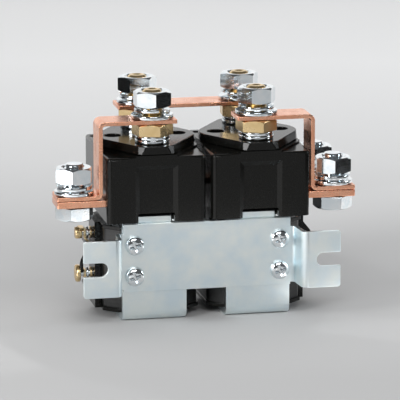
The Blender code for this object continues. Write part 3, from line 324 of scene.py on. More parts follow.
def trim(piece, point, normal):
    # cuts off what lies on the normal's side of a plane and closes the cut
    pick(piece, "FACE", lambda face: True)
    bpy.ops.mesh.bisect(plane_co=point, plane_no=normal, use_fill=True, clear_outer=True)
    leaveEdit()


def trimCorners(piece, centre, first, second, outwards=0.0, lean=0, height=0.0):
    # the same slanting cut at four corners, through two points of the right rear one
    along = Vector(second) - Vector(first)
    out = Vector((-along.y, along.x)).normalized()
    point = Vector(first) + out * outwards
    level, rise = math.cos(math.radians(lean)), math.sin(math.radians(lean))
    for sideX in (1, -1):
        for sideY in (1, -1):
            place = Vector((centre[0] + point.x * sideX, centre[1] + point.y * sideY, height))
            trim(piece, place, (out.x * sideX * level, out.y * sideY * level, rise))


def roundEdges(piece, width, steps, test):
    pick(piece, "EDGE", test)
    bpy.ops.mesh.bevel(offset=width, segments=steps, profile=0.5, affect="EDGES")
    leaveEdit()


def carve(piece, tool, operation="DIFFERENCE"):
    focusOn(piece)
    cut = piece.modifiers.new("cut", "BOOLEAN")
    cut.operation = operation
    cut.solver = "EXACT"
    cut.object = tool
    bpy.ops.object.modifier_apply(modifier=cut.name)
    bpy.data.objects.remove(tool)


def drill(piece, radius, x, y, low, high):
    # a round upright hole between two heights
    carve(piece, rod("drill", radius, (x, y, low), (x, y, high)))


def turned(name, profile, steps=64):
    # a solid turned about Z: a disc, and each next ring extruded from the last; (radius, height)
    leaveEdit()
    radius, height = profile[0]
    bpy.ops.mesh.primitive_circle_add(vertices=steps, radius=radius, fill_type="NGON",
                                      location=(0, 0, height))
    piece = settle(name)
    pick(piece, "FACE", lambda face: True)
    for nextRadius, nextHeight in profile[1:]:
        extrude((0, 0, nextHeight - height))
        resize((nextRadius / radius, nextRadius / radius, 1), (0, 0, nextHeight))
        radius, height = nextRadius, nextHeight
    faceOut(piece)
    return piece


def ring(name, profile, steps=64):
    # a ring turned about Z: a loop of edges extruded round its closed profile
    leaveEdit()
    radius, height = profile[0]
    bpy.ops.mesh.primitive_circle_add(vertices=steps, radius=radius, fill_type="NOTHING",
                                      location=(0, 0, height))
    piece = settle(name)
    pick(piece, "EDGE", lambda edge: True)
    for nextRadius, nextHeight in profile[1:] + profile[:1]:
        extrude((0, 0, nextHeight - height))
        resize((nextRadius / radius, nextRadius / radius, 1), (0, 0, nextHeight))
        radius, height = nextRadius, nextHeight
    faceOut(piece)
    return piece


def strip(name, path, across, thickness, bend):
    # bent sheet: a plane for its first run, its end edge extruded on, folds rounded, then a wall
    leaveEdit()
    path = [Vector(point) for point in path]
    across = Vector(across)
    along = (path[1] - path[0]).normalized()
    up = along.cross(across.normalized())
    turn = Matrix((along, across.normalized(), up)).transposed().to_euler()
    bpy.ops.mesh.primitive_plane_add(size=1, location=(path[0] + path[1]) / 2, rotation=turn)
    bpy.context.object.scale = ((path[1] - path[0]).length, across.length, 1)
    piece = settle(name)
    for here, there in zip(path[1:], path[2:]):
        pick(piece, "EDGE", lambda edge: (middle(edge) - here).length < 0.01 * mm)
        extrude(there - here)
    for before, here, there in zip(path, path[1:], path[2:]):
        sweep = (here - before).angle(there - here)
        pick(piece, "EDGE", lambda edge: (middle(edge) - here).length < 0.01 * mm)
        bpy.ops.mesh.bevel(offset=(bend + thickness / 2) * math.tan(sweep / 2), segments=6, profile=0.5,
                           affect="EDGES")
    leaveEdit()
    focusOn(piece)
    wall = piece.modifiers.new("wall", "SOLIDIFY")
    wall.thickness = thickness
    wall.offset = 0
    wall.use_even_offset = True
    bpy.ops.object.modifier_apply(modifier=wall.name)
    faceOut(piece)
    return piece


def sweepRound(piece, turns, rise, steps, repeats=1):
    # a section carried round Z and upwards by the Screw modifier
    helix = piece.modifiers.new("helix", "SCREW")
    helix.angle = math.radians(360 * turns)
    helix.screw_offset = rise
    helix.iterations = repeats
    helix.steps = steps
    helix.render_steps = steps
    bpy.ops.object.modifier_apply(modifier=helix.name)


def fillEnds(piece):
    pick(piece, "EDGE", lambda edge: edge.is_boundary)
    bpy.ops.mesh.fill_holes(sides=0)
    faceOut(piece)


def thread(name, radius, pitch, low, high):
    # one tooth turned up a helix, then cut level at both ends
    leaveEdit()
    depth = 0.55 * pitch
    bpy.ops.mesh.primitive_circle_add(
        vertices=4, radius=pitch / 2, fill_type="NOTHING",
        location=(radius - depth, 0, low - pitch), rotation=(math.radians(90), 0, 0))
    bpy.context.object.scale = (depth / (pitch / 2), 1, 1)
    piece = settle(name)
    pick(piece, "VERT", lambda vert: vert.co.x < radius - 1.5 * depth)
    bpy.ops.mesh.delete(type="VERT")
    leaveEdit()
    sweepRound(piece, 1, pitch, 40, math.ceil((high - low) / pitch) + 3)
    faceOut(piece)
    trim(piece, (0, 0, high), (0, 0, 1))
    trim(piece, (0, 0, low), (0, 0, -1))
    faceOut(piece)
    return piece


def soften(piece, width, angle=30, steps=3):
    focusOn(piece)
    edges = piece.modifiers.new("edges", "BEVEL")
    edges.width = width
    edges.segments = steps
    edges.limit_method = "ANGLE"
    edges.angle_limit = math.radians(angle)
    edges.use_clamp_overlap = True
    bpy.ops.object.modifier_apply(modifier=edges.name)


def isFlat(face):
    # a broad face with no neighbour of its own size that turns on from it
    def turnsOn(edge):
        others = [other for other in edge.link_faces if other is not face]
        bends = 0.005 < edge.calc_face_angle(0) < 0.23
        return others and bends and others[0].calc_area() > 0.4 * face.calc_area()
    broad = face.calc_area() > 0.2 * mm * face.calc_perimeter()
    return broad and not any(turnsOn(edge) for edge in face.edges)


def dress(piece, finish, smooth=38):
    # finish and shading: round faces smooth, flat ones kept flat
    focusOn(piece)
    piece.data.materials.clear()
    piece.data.materials.append(finish.material)
    bpy.ops.object.shade_smooth_by_angle(angle=math.radians(smooth))
    pick(piece, "FACE", isFlat)
    bpy.ops.mesh.faces_shade_flat()
    leaveEdit()


def assign(piece, slotName, *nodes, body=base):
    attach(piece, body)
    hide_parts(*nodes)


def copyOf(piece, name, place=(0, 0, 0), turn=0.0):
    copied = bpy.data.objects.new(name, piece.data.copy())
    bpy.context.scene.collection.objects.link(copied)
    copied.data.name = name
    copied.location = place
    copied.rotation_euler = (0, 0, math.radians(turn))
    bake(copied)
    return copied


def centreOf(node):
    low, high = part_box(node)
    return (low + high) / 2


unitPlace = {side: centreOf(side + "_cover") for side in ("left", "right")}
outwardOf = {"left": -1, "right": 1}
studPlace = {corner: centreOf(corner + "_seat_washers")
             for corner in ("front_left", "front_right", "rear_left", "rear_right")}
boltPlace = {spot: centreOf(spot + "_flat_washer")
             for spot in ("lower_left", "lower_right", "lower_rear")}
coverLow, coverHigh = (corner.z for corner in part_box("left_cover"))
housingLow, rimHigh = (corner.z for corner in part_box("left_housing"))


housingLook = {
    "shoulderDrop": 0.7 * mm, "shoulderRound": 0.9 * mm, "shoulderReach": 0.7 * mm,
    "rimLedge": 1.3 * mm, "cornerRadius": 2.0 * mm, "edge": 0.42 * mm,
    "boss": (7.3 * mm, 22.9 * mm), "tip": (18.9 * mm, 4.5 * mm), "channelHalf": 8.1 * mm,
    "channelDepth": 1.2 * mm, "channelSlope": 1.7 * mm, "channelTop": 3.9 * mm,
    "notchHalf": 6.95 * mm, "notchHeight": 3.2 * mm, "notchDepth": 8.2 * mm,
    "chamberEnd": (6.0 * mm, 20.1 * mm), "chamberSide": (16.7 * mm, 4.5 * mm), "floor": 4.0 * mm,
    "screwX": 12.5 * mm, "columnRadius": 4.7 * mm, "screwHole": 3.25 * mm, "shankHole": 2.15 * mm,
    "ledgeDepth": 12.0 * mm, "pocket": (-16.0 * mm, 19.4 * mm), "pocketRadius": 1.9 * mm,
    "pocketDepth": 2.0 * mm, "slotGap": 0.3 * mm, "neckHalf": 4.5 * mm, "wideHalf": 6.5 * mm,
    "shoulderX": 8.7 * mm, "innerEnd": 5.3 * mm, "rodHole": 2.8 * mm}


def channelTool(centre, halfY, front, look):
    face = centre.y + front * halfY
    top = rimHigh - look["channelTop"]
    inner = face - front * look["channelDepth"]
    tool = block("channel", (centre.x - look["channelHalf"], min(face, inner), housingLow - past),
                 (centre.x + look["channelHalf"], max(face, inner), top))
    share = (look["channelHalf"] - look["channelSlope"]) / look["channelHalf"]
    pick(tool, "FACE", lambda part: part.normal.y * front < -0.9)
    resize((share, 1, 1), (centre.x, inner, 0))
    pick(tool, "EDGE", lambda edge: near(middle(edge).y, inner) and near(middle(edge).z, top))
    move((0, 0, -look["channelSlope"]))
    pick(tool, "FACE", lambda part: part.normal.y * front > 0.9)
    extrude((0, front * past, 0))
    faceOut(tool)
    return tool


def makeHousing(side, look):
    centre = unitPlace[side]
    low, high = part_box(side + "_housing")
    halfX, halfY = (high.x - low.x) / 2, (high.y - low.y) / 2
    barLow, barHigh = (corner.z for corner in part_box("rear_lower_bar"))
    housing = block(side + "_housing_shell", low, high)
    roundEdges(housing, look["cornerRadius"], 6, lambda edge: runs(edge, 2))
    shoulder = block("shoulder", (low.x - past, low.y - past, rimHigh - look["shoulderDrop"]),
                     (high.x + past, high.y + past, rimHigh + past))
    keep = block("rim", (low.x - 3 * past, low.y - 3 * past, housingLow),
                 (high.x + 3 * past, high.y + 3 * past, rimHigh + 3 * past))
    trimCorners(keep, centre, look["boss"], look["tip"], look["rimLedge"])
    carve(shoulder, keep)
    carve(housing, shoulder)
    shoulderHigh = rimHigh - look["shoulderDrop"]
    roundEdges(housing, look["shoulderRound"], 4,
               lambda edge: all(near(vert.co.z, shoulderHigh) for vert in edge.verts)
               and (near(abs(middle(edge).x - centre.x), halfX, look["shoulderReach"])
                    or near(abs(middle(edge).y - centre.y), halfY, look["shoulderReach"])))
    chamber = block(
        "chamber",
        (centre.x - look["chamberSide"][0], centre.y - look["chamberEnd"][1], housingLow + look["floor"]),
        (centre.x + look["chamberSide"][0], centre.y + look["chamberEnd"][1], rimHigh + past))
    trimCorners(chamber, centre, look["chamberEnd"], look["chamberSide"])
    for x in (centre.x - look["screwX"], centre.x + look["screwX"]):
        drill(chamber, look["columnRadius"], x, centre.y, housingLow, rimHigh + 2 * past)
    carve(housing, chamber)
    for front in (-1, 1):
        carve(housing, channelTool(centre, halfY, front, look))
        inside = centre.y + front * (halfY - look["notchDepth"])
        outside = centre.y + front * (halfY + past)
        carve(housing, block(
            "notch",
            (centre.x - look["notchHalf"], min(inside, outside), housingLow - past),
            (centre.x + look["notchHalf"], max(inside, outside), housingLow + look["notchHeight"])))
    outside = halfX + past
    frontY, rearY = studPlace["front_left"].y, studPlace["rear_left"].y
    slots = [(look["shoulderX"], outside, frontY, look["wideHalf"]),
             (-look["innerEnd"], look["shoulderX"], frontY, look["neckHalf"])]
    if side == "left":
        slots = [(-far, -close, y, half) for close, far, y, half in slots]
        slots += [(-look["innerEnd"], outside, rearY, look["neckHalf"])]
    else:
        slots += [(look["shoulderX"], outside, rearY, look["wideHalf"]),
                  (-outside, look["shoulderX"], rearY, look["neckHalf"])]
    for close, far, y, half in slots:
        carve(housing, block("slot", (centre.x + close, y - half, barLow - look["slotGap"]),
                             (centre.x + far, y + half, barHigh + look["slotGap"])))
    ledge = coverHigh - look["ledgeDepth"]
    for x in (centre.x - look["screwX"], centre.x + look["screwX"]):
        drill(housing, look["screwHole"], x, centre.y, ledge, rimHigh + past)
        drill(housing, look["shankHole"], x, centre.y, housingLow - past, ledge + past)
    pocket = (centre.x + look["pocket"][0], centre.y + look["pocket"][1])
    drill(housing, look["pocketRadius"], *pocket, shoulderHigh - look["pocketDepth"], rimHigh + past)
    drill(housing, look["rodHole"], centre.x, centre.y, housingLow - past,
          housingLow + look["floor"] + past)
    soften(housing, look["edge"])
    dress(housing, blackMoulding)
    assign(housing, "black_moulding", side + "_housing")


for side in ("left", "right"):
    makeHousing(side, housingLook)
print("housings made")

coverLook = {
    "tipRound": 3.0 * mm, "edge": 0.30 * mm, "studHole": 4.3 * mm, "slantLean": 11, "flankLean": 14,
    "flankInner": (5.5 * mm, 24.5 * mm), "flankOuter": (7.05 * mm, 23.3 * mm)}


def makeCover(side, shape, look):
    centre = unitPlace[side]
    low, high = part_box(side + "_cover")
    cover = block(side + "_lid", low, high)
    trimCorners(cover, centre, shape["boss"], shape["tip"], 0.0, look["slantLean"], low.z)
    trimCorners(cover, centre, look["flankInner"], look["flankOuter"], 0.0, look["flankLean"], low.z)
    roundEdges(cover, look["tipRound"], 8,
               lambda edge: abs(edge.verts[0].co.z - edge.verts[1].co.z) > 2 * mm
               and abs(middle(edge).x - centre.x) > shape["tip"][0] - past)
    for corner in ("front_" + side, "rear_" + side):
        place = studPlace[corner]
        drill(cover, look["studHole"], place.x, place.y, low.z - past, high.z + past)
    for x in (centre.x - shape["screwX"], centre.x + shape["screwX"]):
        drill(cover, shape["screwHole"], x, centre.y, low.z - past, high.z + past)
    soften(cover, look["edge"], 18)
    dress(cover, blackMoulding)
    assign(cover, "black_moulding", side + "_cover")
    return cover


leftLid = makeCover("left", housingLook, coverLook)
rightLid = copyOf(leftLid, "right_lid", unitPlace["right"] - unitPlace["left"])
assign(rightLid, "black_moulding", "right_cover")
print("lids made")


yokeLook = {"thickness": 2.6 * mm, "bend": 1.2 * mm, "tongueHalf": 6.5 * mm, "legHeight": 36.3 * mm,
            "cutReach": 14 * mm, "edge": 0.15 * mm}


def makeYoke(side, look):
    low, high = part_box(side + "_yoke")
    centre = (low + high) / 2
    wall = look["thickness"]
    yoke = block(side + "_yoke_strap", low, high)
    roundEdges(yoke, look["bend"] + wall, 8, lambda edge: runs(edge, 0) and near(middle(edge).z, low.z))
    inside = block("inside", (low.x - past, low.y + wall, low.z + wall),
                   (high.x + past, high.y - wall, high.z + past))
    roundEdges(inside, look["bend"], 6, lambda edge: runs(edge, 0)
               and near(middle(edge).z, low.z + wall))
    carve(yoke, inside)
    for outward in (-1, 1):
        close = centre.x + outward * look["tongueHalf"]
        far = centre.x + outward * look["cutReach"]
        carve(yoke, block("shoulder", (min(close, far), low.y - past, look["legHeight"]),
                          (max(close, far), high.y + past, high.z + past)))
    soften(yoke, look["edge"])
    dress(yoke, sheetZinc)
    assign(yoke, "zinc_plate", side + "_yoke")
    return yoke


leftYoke = makeYoke("left", yokeLook)
rightYoke = copyOf(leftYoke, "right_yoke_strap", unitPlace["right"] - unitPlace["left"])
assign(rightYoke, "zinc_plate", "right_yoke")

coilLook = {
    "halfX": 18.5 * mm, "halfY": 16.35 * mm, "cornerX": 6.0 * mm, "cornerY": 5.3 * mm,
    "flange": 1.6 * mm, "wrapInset": 0.5 * mm, "wrapRound": 1.2 * mm, "footRound": 1.1 * mm,
    "bore": 6.5 * mm, "blockFace": 20.7 * mm, "blockHalf": 6.5 * mm, "root": 17.0 * mm,
    "ledgeRoot": 0.5 * mm, "ledgeReach": 2.9 * mm, "ledge": 1.4 * mm, "gusset": 4.2 * mm,
    "tipRound": 0.6 * mm, "ledgeTops": (11.3 * mm, 28.2 * mm), "edge": 0.25 * mm}


def octagon(name, centre, look, inset, lowZ, highZ):
    halfX, halfY = look["halfX"] - inset, look["halfY"] - inset
    piece = block(name, (centre.x - halfX, centre.y - halfY, lowZ),
                  (centre.x + halfX, centre.y + halfY, highZ))
    trimCorners(piece, centre, (halfX - look["cornerX"], halfY), (halfX, halfY - look["cornerY"]))
    return piece


def makeCoil(side, look):
    centre = unitPlace[side]
    outward = outwardOf[side]
    low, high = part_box(side + "_coil")
    lowZ, highZ = low.z, high.z
    wrap = octagon(side + "_winding", centre, look, look["wrapInset"], lowZ + look["flange"],
                   highZ - look["flange"])
    roundEdges(wrap, look["wrapRound"], 4, lambda edge: runs(edge, 2))
    drill(wrap, look["bore"], centre.x, centre.y, lowZ - past, highZ + past)
    dress(wrap, coilWrap)
    assign(wrap, "coil_wrap", side + "_coil")
    for label, flangeLow in (("bottom", lowZ), ("top", highZ - look["flange"])):
        flange = octagon(side + "_bobbin_" + label, centre, look, 0, flangeLow,
                         flangeLow + look["flange"])
        if label == "bottom":
            roundEdges(flange, look["footRound"], 3,
                       lambda edge: runs(edge, 0) and near(middle(edge).z, lowZ))
        drill(flange, look["bore"], centre.x, centre.y, lowZ - past, highZ + past)
        soften(flange, look["edge"])
        dress(flange, blackMoulding)
        assign(flange, "coil_wrap", side + "_coil")

    def spanX(close, far):
        ends = (centre.x + outward * close, centre.x + outward * far)
        return min(ends), max(ends)

    def spanZ(bottom, top):
        # the right bobbin stands upside down
        return (bottom, top) if side == "left" else (lowZ + highZ - top, lowZ + highZ - bottom)

    rootX, faceX = spanX(look["root"], look["blockFace"])
    holder = block(side + "_terminal_block", (rootX, centre.y - look["blockHalf"], lowZ),
                   (faceX, centre.y + look["blockHalf"], highZ))
    for top in look["ledgeTops"]:
        nearX, farX = spanX(look["blockFace"] - look["ledgeRoot"],
                            look["blockFace"] + look["ledgeReach"])
        bottomZ, topZ = spanZ(top - look["ledge"] - look["gusset"], top)
        ledge = block("ledge", (nearX, centre.y - look["blockHalf"], bottomZ),
                      (farX, centre.y + look["blockHalf"], topZ))
        tipX = centre.x + outward * (look["blockFace"] + look["ledgeReach"])
        slopeZ = bottomZ if side == "left" else topZ
        pick(ledge, "EDGE", lambda edge: near(middle(edge).x, tipX) and near(middle(edge).z, slopeZ))
        move((0, 0, look["gusset"] if side == "left" else -look["gusset"]))
        leaveEdit()
        roundEdges(ledge, look["tipRound"], 4,
                   lambda edge: near(middle(edge).x, tipX) and runs(edge, 1))
        carve(holder, ledge, "UNION")
    soften(holder, look["edge"])
    dress(holder, blackMoulding)
    assign(holder, "coil_wrap", side + "_coil")


for side in ("left", "right"):
    makeCoil(side, coilLook)
print("yokes and coils made")

springLook = {"wire": 0.9 * mm, "turns": 3.5, "steps": 168}


def makeReturnSpring(look):
    # a round section swept round, its two ends filled
    leaveEdit()
    low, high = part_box("left_return_spring")
    wire = look["wire"]
    bpy.ops.mesh.primitive_circle_add(vertices=12, radius=wire / 2, fill_type="NOTHING",
                                      location=((high.x - low.x - wire) / 2, 0, low.z + wire / 2),
                                      rotation=(math.radians(90), 0, 0))
    spring = settle("spring")
    sweepRound(spring, look["turns"], high.z - low.z - wire, look["steps"])
    fillEnds(spring)
    dress(spring, springSteel)
    for side in ("left", "right"):
        # one copy stands at each spring's place; on the real part the upper end stays in the core and the
        # lower one follows the plunger
        place = centreOf(side + "_return_spring")
        piece = copyOf(spring, side + "_spring_coil", (place.x, place.y, 0))
        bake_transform(piece)
        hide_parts(side + "_return_spring")
    bpy.data.objects.remove(spring)


makeReturnSpring(springLook)

terminalLook = {
    "stand": 0.25 * mm, "washerRadius": 2.3 * mm, "washer": 0.8 * mm, "zincWasher": 1.5 * mm,
    "play": 0.15 * mm, "shank": 1.3 * mm, "root": 2.4 * mm, "shortest": 5 * mm, "slot": 0.7 * mm,
    "edge": 0.12 * mm, "headRadius": {"high": 2.3 * mm, "low": 3.3 * mm},
    "headHeight": {"high": 2.5 * mm, "low": 1.7 * mm}, "clampWidth": 4.4 * mm, "clamp": 0.6 * mm,
    "clampBend": 0.3 * mm, "plate": 2.9 * mm, "lip": 2.1 * mm,
    "rise": {"high": 2.0 * mm, "low": 1.7 * mm}, "drop": 1.9 * mm, "foot": (-1.5 * mm, -3.3 * mm),
    "leadRadius": 0.70 * mm, "bow": 6.5 * mm, "dip": 22, "leadTurn": 66,
    "leadFoot": (2.5 * mm, -2.3 * mm, 0.9 * mm)}


def layOutwards(piece, side, place):
    # turns a piece made about Z so that it points away from the middle
    piece.rotation_euler.y = math.radians(90 * outwardOf[side])
    piece.location = place
    bake(piece)


def makeCoilTerminal(side, label, look):
    node = side + "_coil_terminal_" + label
    low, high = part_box(node)
    centre = (low + high) / 2
    outward = outwardOf[side]
    faceX = outward * (abs(unitPlace[side].x) + coilLook["blockFace"] + look["stand"])
    tipX = low.x if side == "left" else high.x
    reach = abs(tipX - faceX)
    size = "high" if high.z - low.z < look["shortest"] else "low"
    headRadius, headHeight = look["headRadius"][size], look["headHeight"][size]
    head = turned(node + "_head", [
        (headRadius * 0.97, reach - headHeight), (headRadius, reach - headHeight * 0.8),
        (headRadius, reach - headHeight * 0.25), (headRadius * 0.9, reach)], 40)
    carve(head, block("slot", (-headRadius - past, -look["slot"] / 2, reach - headHeight * 0.45),
                      (headRadius + past, look["slot"] / 2, reach + past)))
    soften(head, 0.10 * mm, 30, 2)
    layOutwards(head, side, (faceX, centre.y, centre.z))
    dress(head, brass)
    assign(head, "brass", node)
    shank = turned(node + "_shank", [(look["shank"], -look["root"]),
                                     (look["shank"], reach - headHeight + 0.1 * mm)], 32)
    layOutwards(shank, side, (faceX, centre.y, centre.z))
    dress(shank, brightZinc)
    assign(shank, "zinc_plate", node)
    washerHole = look["shank"] + look["play"]
    washer = ring(node + "_washer", [
        (washerHole, look["washer"]), (look["washerRadius"], look["washer"]), (look["washerRadius"], 0),
        (washerHole, 0)], 40)
    soften(washer, look["edge"], 30, 2)
    layOutwards(washer, side, (faceX, centre.y, centre.z))
    dress(washer, brass)
    assign(washer, "brass", node)
    if reach > look["shortest"]:
        second = copyOf(washer, node + "_zinc_washer", (outward * look["zincWasher"], 0, 0))
        dress(second, brightZinc)
        assign(second, "zinc_plate", node)
        makeClamp(side, label, node, centre, faceX, tipX, look)


def makeClamp(side, label, node, centre, faceX, tipX, look):
    # the wire clamp of an open terminal: a bent brass tab behind the head
    outward = outwardOf[side]
    plateX = faceX + outward * look["plate"]
    topZ = centre.z + look["rise"][label]
    footX, footZ = look["foot"]
    path = [(plateX + outward * look["lip"], centre.y, topZ), (plateX, centre.y, topZ),
            (plateX, centre.y, centre.z - look["drop"]),
            (plateX + outward * footX, centre.y, centre.z + footZ)]
    if label == "low":
        path = path[1:]
    clamp = strip(node + "_clamp", path, (0, look["clampWidth"], 0), look["clamp"],
                  look["clampBend"])
    carve(clamp, rod("hole", look["shank"] + look["play"], (plateX - 2 * past, centre.y, centre.z),
                     (plateX + 2 * past, centre.y, centre.z)))
    soften(clamp, 0.08 * mm, 30, 2)
    dress(clamp, brass)
    assign(clamp, "brass", node)
    if label == "low":
        back, aside, up = look["leadFoot"]
        makeLead(node, Vector((tipX - outward * back, centre.y + aside, centre.z + up)), outward, look)


def makeLead(node, foot, outward, look):
    # a short bow of wire: a circle spun about an axis that runs front to back
    leaveEdit()
    dip = math.radians(look["dip"])
    bpy.ops.mesh.primitive_circle_add(vertices=16, radius=look["leadRadius"], fill_type="NGON",
                                      location=foot, rotation=(0, outward * dip, 0))
    lead = settle(node + "_lead")
    pick(lead, "FACE", lambda face: True)
    middlePoint = foot + Vector((-outward * math.cos(dip), 0, math.sin(dip))) * look["bow"]
    bpy.ops.mesh.spin(steps=14, angle=math.radians(outward * look["leadTurn"]), center=middlePoint,
                      axis=(0, 1, 0))
    faceOut(lead)
    soften(lead, 0.1 * mm, 40, 2)
    dress(lead, blackMoulding)
    assign(lead, "brass", node)


for side in ("left", "right"):
    for label in ("high", "low"):
        makeCoilTerminal(side, label, terminalLook)
print("coil terminals made")


barLook = {
    "thickness": 1.5 * mm, "bend": 1.0 * mm, "edge": 0.18 * mm, "hole": 4.3 * mm,
    "cornerRound": 0.6 * mm, "legX": 40.65 * mm, "tongueHalf": 4.2 * mm, "tongueEnd": 15 * mm,
    "rearTongueEnd": 25 * mm, "shoulderX": 29 * mm}


def makeFrontBar(side, look):
    node = "front_" + side + "_bar"
    low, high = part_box(node)
    outward = outwardOf[side]
    y = (low.y + high.y) / 2
    half = look["thickness"] / 2
    innerX = high.x if side == "left" else low.x
    outerX = low.x if side == "left" else high.x
    legX = outward * look["legX"]
    path = [(innerX, y, high.z - half), (legX, y, high.z - half), (legX, y, low.z + half),
            (outerX, y, low.z + half)]
    bar = strip("front_" + side + "_link", path, (0, high.y - low.y, 0), look["thickness"],
                look["bend"])
    roundEdges(bar, look["cornerRound"], 4,
               lambda edge: runs(edge, 2) and (near(middle(edge).x, innerX)
                                               or near(middle(edge).x, outerX)))
    for place, z in ((studPlace["front_" + side], high.z), (boltPlace["lower_" + side], low.z)):
        drill(bar, look["hole"], place.x, place.y, z - 3 * past, z + 3 * past)
    soften(bar, look["edge"])
    dress(bar, copper)
    assign(bar, "copper", node)


for side in ("left", "right"):
    makeFrontBar(side, barLook)


def makeFlatBar(name, node, places, neck, look):
    # neck: (end x, shoulder x) of the narrow tongue inside the housing
    low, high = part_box(node)
    y = (low.y + high.y) / 2
    if neck:
        tongueX, shoulderX = neck
        inner, outer = (low.x, high.x) if shoulderX > tongueX else (high.x, low.x)
        bar = block(name, (min(shoulderX, outer), low.y, low.z),
                    (max(shoulderX, outer), high.y, high.z))
        root = shoulderX + math.copysign(past, shoulderX - inner)
        carve(bar, block("tongue", (min(inner, root), y - look["tongueHalf"], low.z),
                         (max(inner, root), y + look["tongueHalf"], high.z)), "UNION")
    else:
        bar = block(name, low, high)
    roundEdges(bar, look["cornerRound"], 4,
               lambda edge: runs(edge, 2) and (near(middle(edge).x, low.x)
                                               or near(middle(edge).x, high.x)))
    for place in places:
        drill(bar, look["hole"], place.x, place.y, high.z - 8 * past, high.z + 8 * past)
    soften(bar, look["edge"])
    dress(bar, copper)
    assign(bar, "copper", node)


makeFlatBar("rear_link", "rear_link_bar", [studPlace["rear_left"], studPlace["rear_right"]], None,
            barLook)
makeFlatBar("front_left_lower_link", "front_left_lower_bar", [boltPlace["lower_left"]],
            (-barLook["tongueEnd"], -barLook["shoulderX"]), barLook)
makeFlatBar("front_right_lower_link", "front_right_lower_bar", [boltPlace["lower_right"]],
            (barLook["tongueEnd"], barLook["shoulderX"]), barLook)
makeFlatBar("rear_lower_link", "rear_lower_bar", [boltPlace["lower_rear"]],
            (-barLook["rearTongueEnd"], barLook["shoulderX"]), barLook)
print("bars made")


bracketLook = {
    "thickness": 1.5 * mm, "bend": 1.2 * mm, "gap": 0.25 * mm, "plateHalf": 32.25 * mm,
    "webFoot": 34.45 * mm, "webTop": 35.25 * mm, "stepHigh": 3.6 * mm, "stepLow": 0.9 * mm,
    "slotHalf": 2.65 * mm, "slotLength": 9.3 * mm, "cornerRound": 1.0 * mm, "edge": 0.14 * mm}


def makeBracket(look):
    low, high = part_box("mounting_bracket")
    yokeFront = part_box("left_yoke")[0].y
    half = look["thickness"] / 2
    plateY = yokeFront - look["gap"] - half
    earY = low.y + half
    midZ = (low.z + high.z) / 2
    path = [(low.x, earY, midZ), (-look["webTop"], earY, midZ), (-look["webFoot"], plateY, midZ),
            (look["webFoot"], plateY, midZ), (look["webTop"], earY, midZ), (high.x, earY, midZ)]
    bracket = strip("bracket_sheet", path, (0, 0, high.z - low.z), look["thickness"], look["bend"])
    stripLow, stripHigh = low.z + look["stepLow"], high.z - look["stepHigh"]
    slotZ = (stripLow + stripHigh) / 2
    for outward in (-1, 1):
        def span(close, far):
            ends = (outward * close, outward * far)
            return min(ends), max(ends)
        nearX, farX = span(look["plateHalf"], high.x + past)
        carve(bracket, block("step", (nearX, low.y - past, stripHigh), (farX, 0, high.z + past)))
        carve(bracket, block("step", (nearX, low.y - past, low.z - past), (farX, 0, stripLow)))
        slotX = high.x - look["slotLength"] + look["slotHalf"]
        nearX, farX = span(slotX, high.x + past)
        carve(bracket, block("slot", (nearX, low.y - past, slotZ - look["slotHalf"]),
                             (farX, earY + past, slotZ + look["slotHalf"])))
        carve(bracket, rod("slot end", look["slotHalf"], (outward * slotX, low.y - past, slotZ),
                           (outward * slotX, earY + past, slotZ)))
    roundEdges(bracket, look["cornerRound"], 5,
               lambda edge: runs(edge, 1) and near(abs(middle(edge).x), high.x)
               and (near(middle(edge).z, stripLow) or near(middle(edge).z, stripHigh)))
    soften(bracket, look["edge"])
    dress(bracket, sheetZinc)
    assign(bracket, "zinc_plate", "mounting_bracket")
    return plateY - half


bracketFront = makeBracket(bracketLook)

screwLook = {
    "radius": 3.6 * mm, "height": 2.4 * mm, "recess": 2.3 * mm, "arm": 2.3 * mm, "slit": 0.55 * mm,
    "turn": 20, "fromCentre": 8.0 * mm, "lowRow": 6.0 * mm, "highRow": 8.2 * mm, "shaft": 1.9 * mm,
    "shaftDepth": 1.5 * mm, "clear": 0.02 * mm, "rim": 0.25 * mm}


def makeBracketScrews(look):
    radius, height = look["radius"], look["height"]
    head = turned("pan_head", [
        (look["shaft"], -look["shaftDepth"]), (look["shaft"], look["clear"]),
        (radius * 0.97, look["clear"]), (radius, look["rim"]),
        (radius, height * 0.45), (radius * 0.96, height * 0.66),
        (radius * 0.86, height * 0.82), (radius * 0.68, height * 0.93), (radius * 0.42, height * 0.99),
        (radius * 0.1, height)], 48)
    for turn in (0, 90):
        arm = block("arm", (-look["arm"], -look["slit"], height - look["recess"]),
                    (look["arm"], look["slit"], height + past))
        pick(arm, "FACE", lambda face: face.normal.z < -0.9)
        resize((0.8, 0.8, 1), (0, 0, 0))
        leaveEdit()
        arm.rotation_euler.z = math.radians(turn)
        bake(arm)
        carve(head, arm)
    soften(head, 0.08 * mm, 35, 2)
    dress(head, brightZinc)
    bpy.context.view_layer.update()
    low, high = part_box("mounting_bracket")
    for side in ("left", "right"):
        for label, z in (("low", low.z + look["lowRow"]), ("high", high.z - look["highRow"])):
            screw = copyOf(head, side + "_bracket_screw_" + label, turn=look["turn"])
            screw.rotation_euler.x = math.radians(90)
            screw.location = (outwardOf[side] * (abs(unitPlace[side].x) + look["fromCentre"]),
                              bracketFront, z)
            bake(screw)
            assign(screw, "zinc_plate", "mounting_bracket")
    bpy.data.objects.remove(head)


makeBracketScrews(screwLook)
print("bracket made")


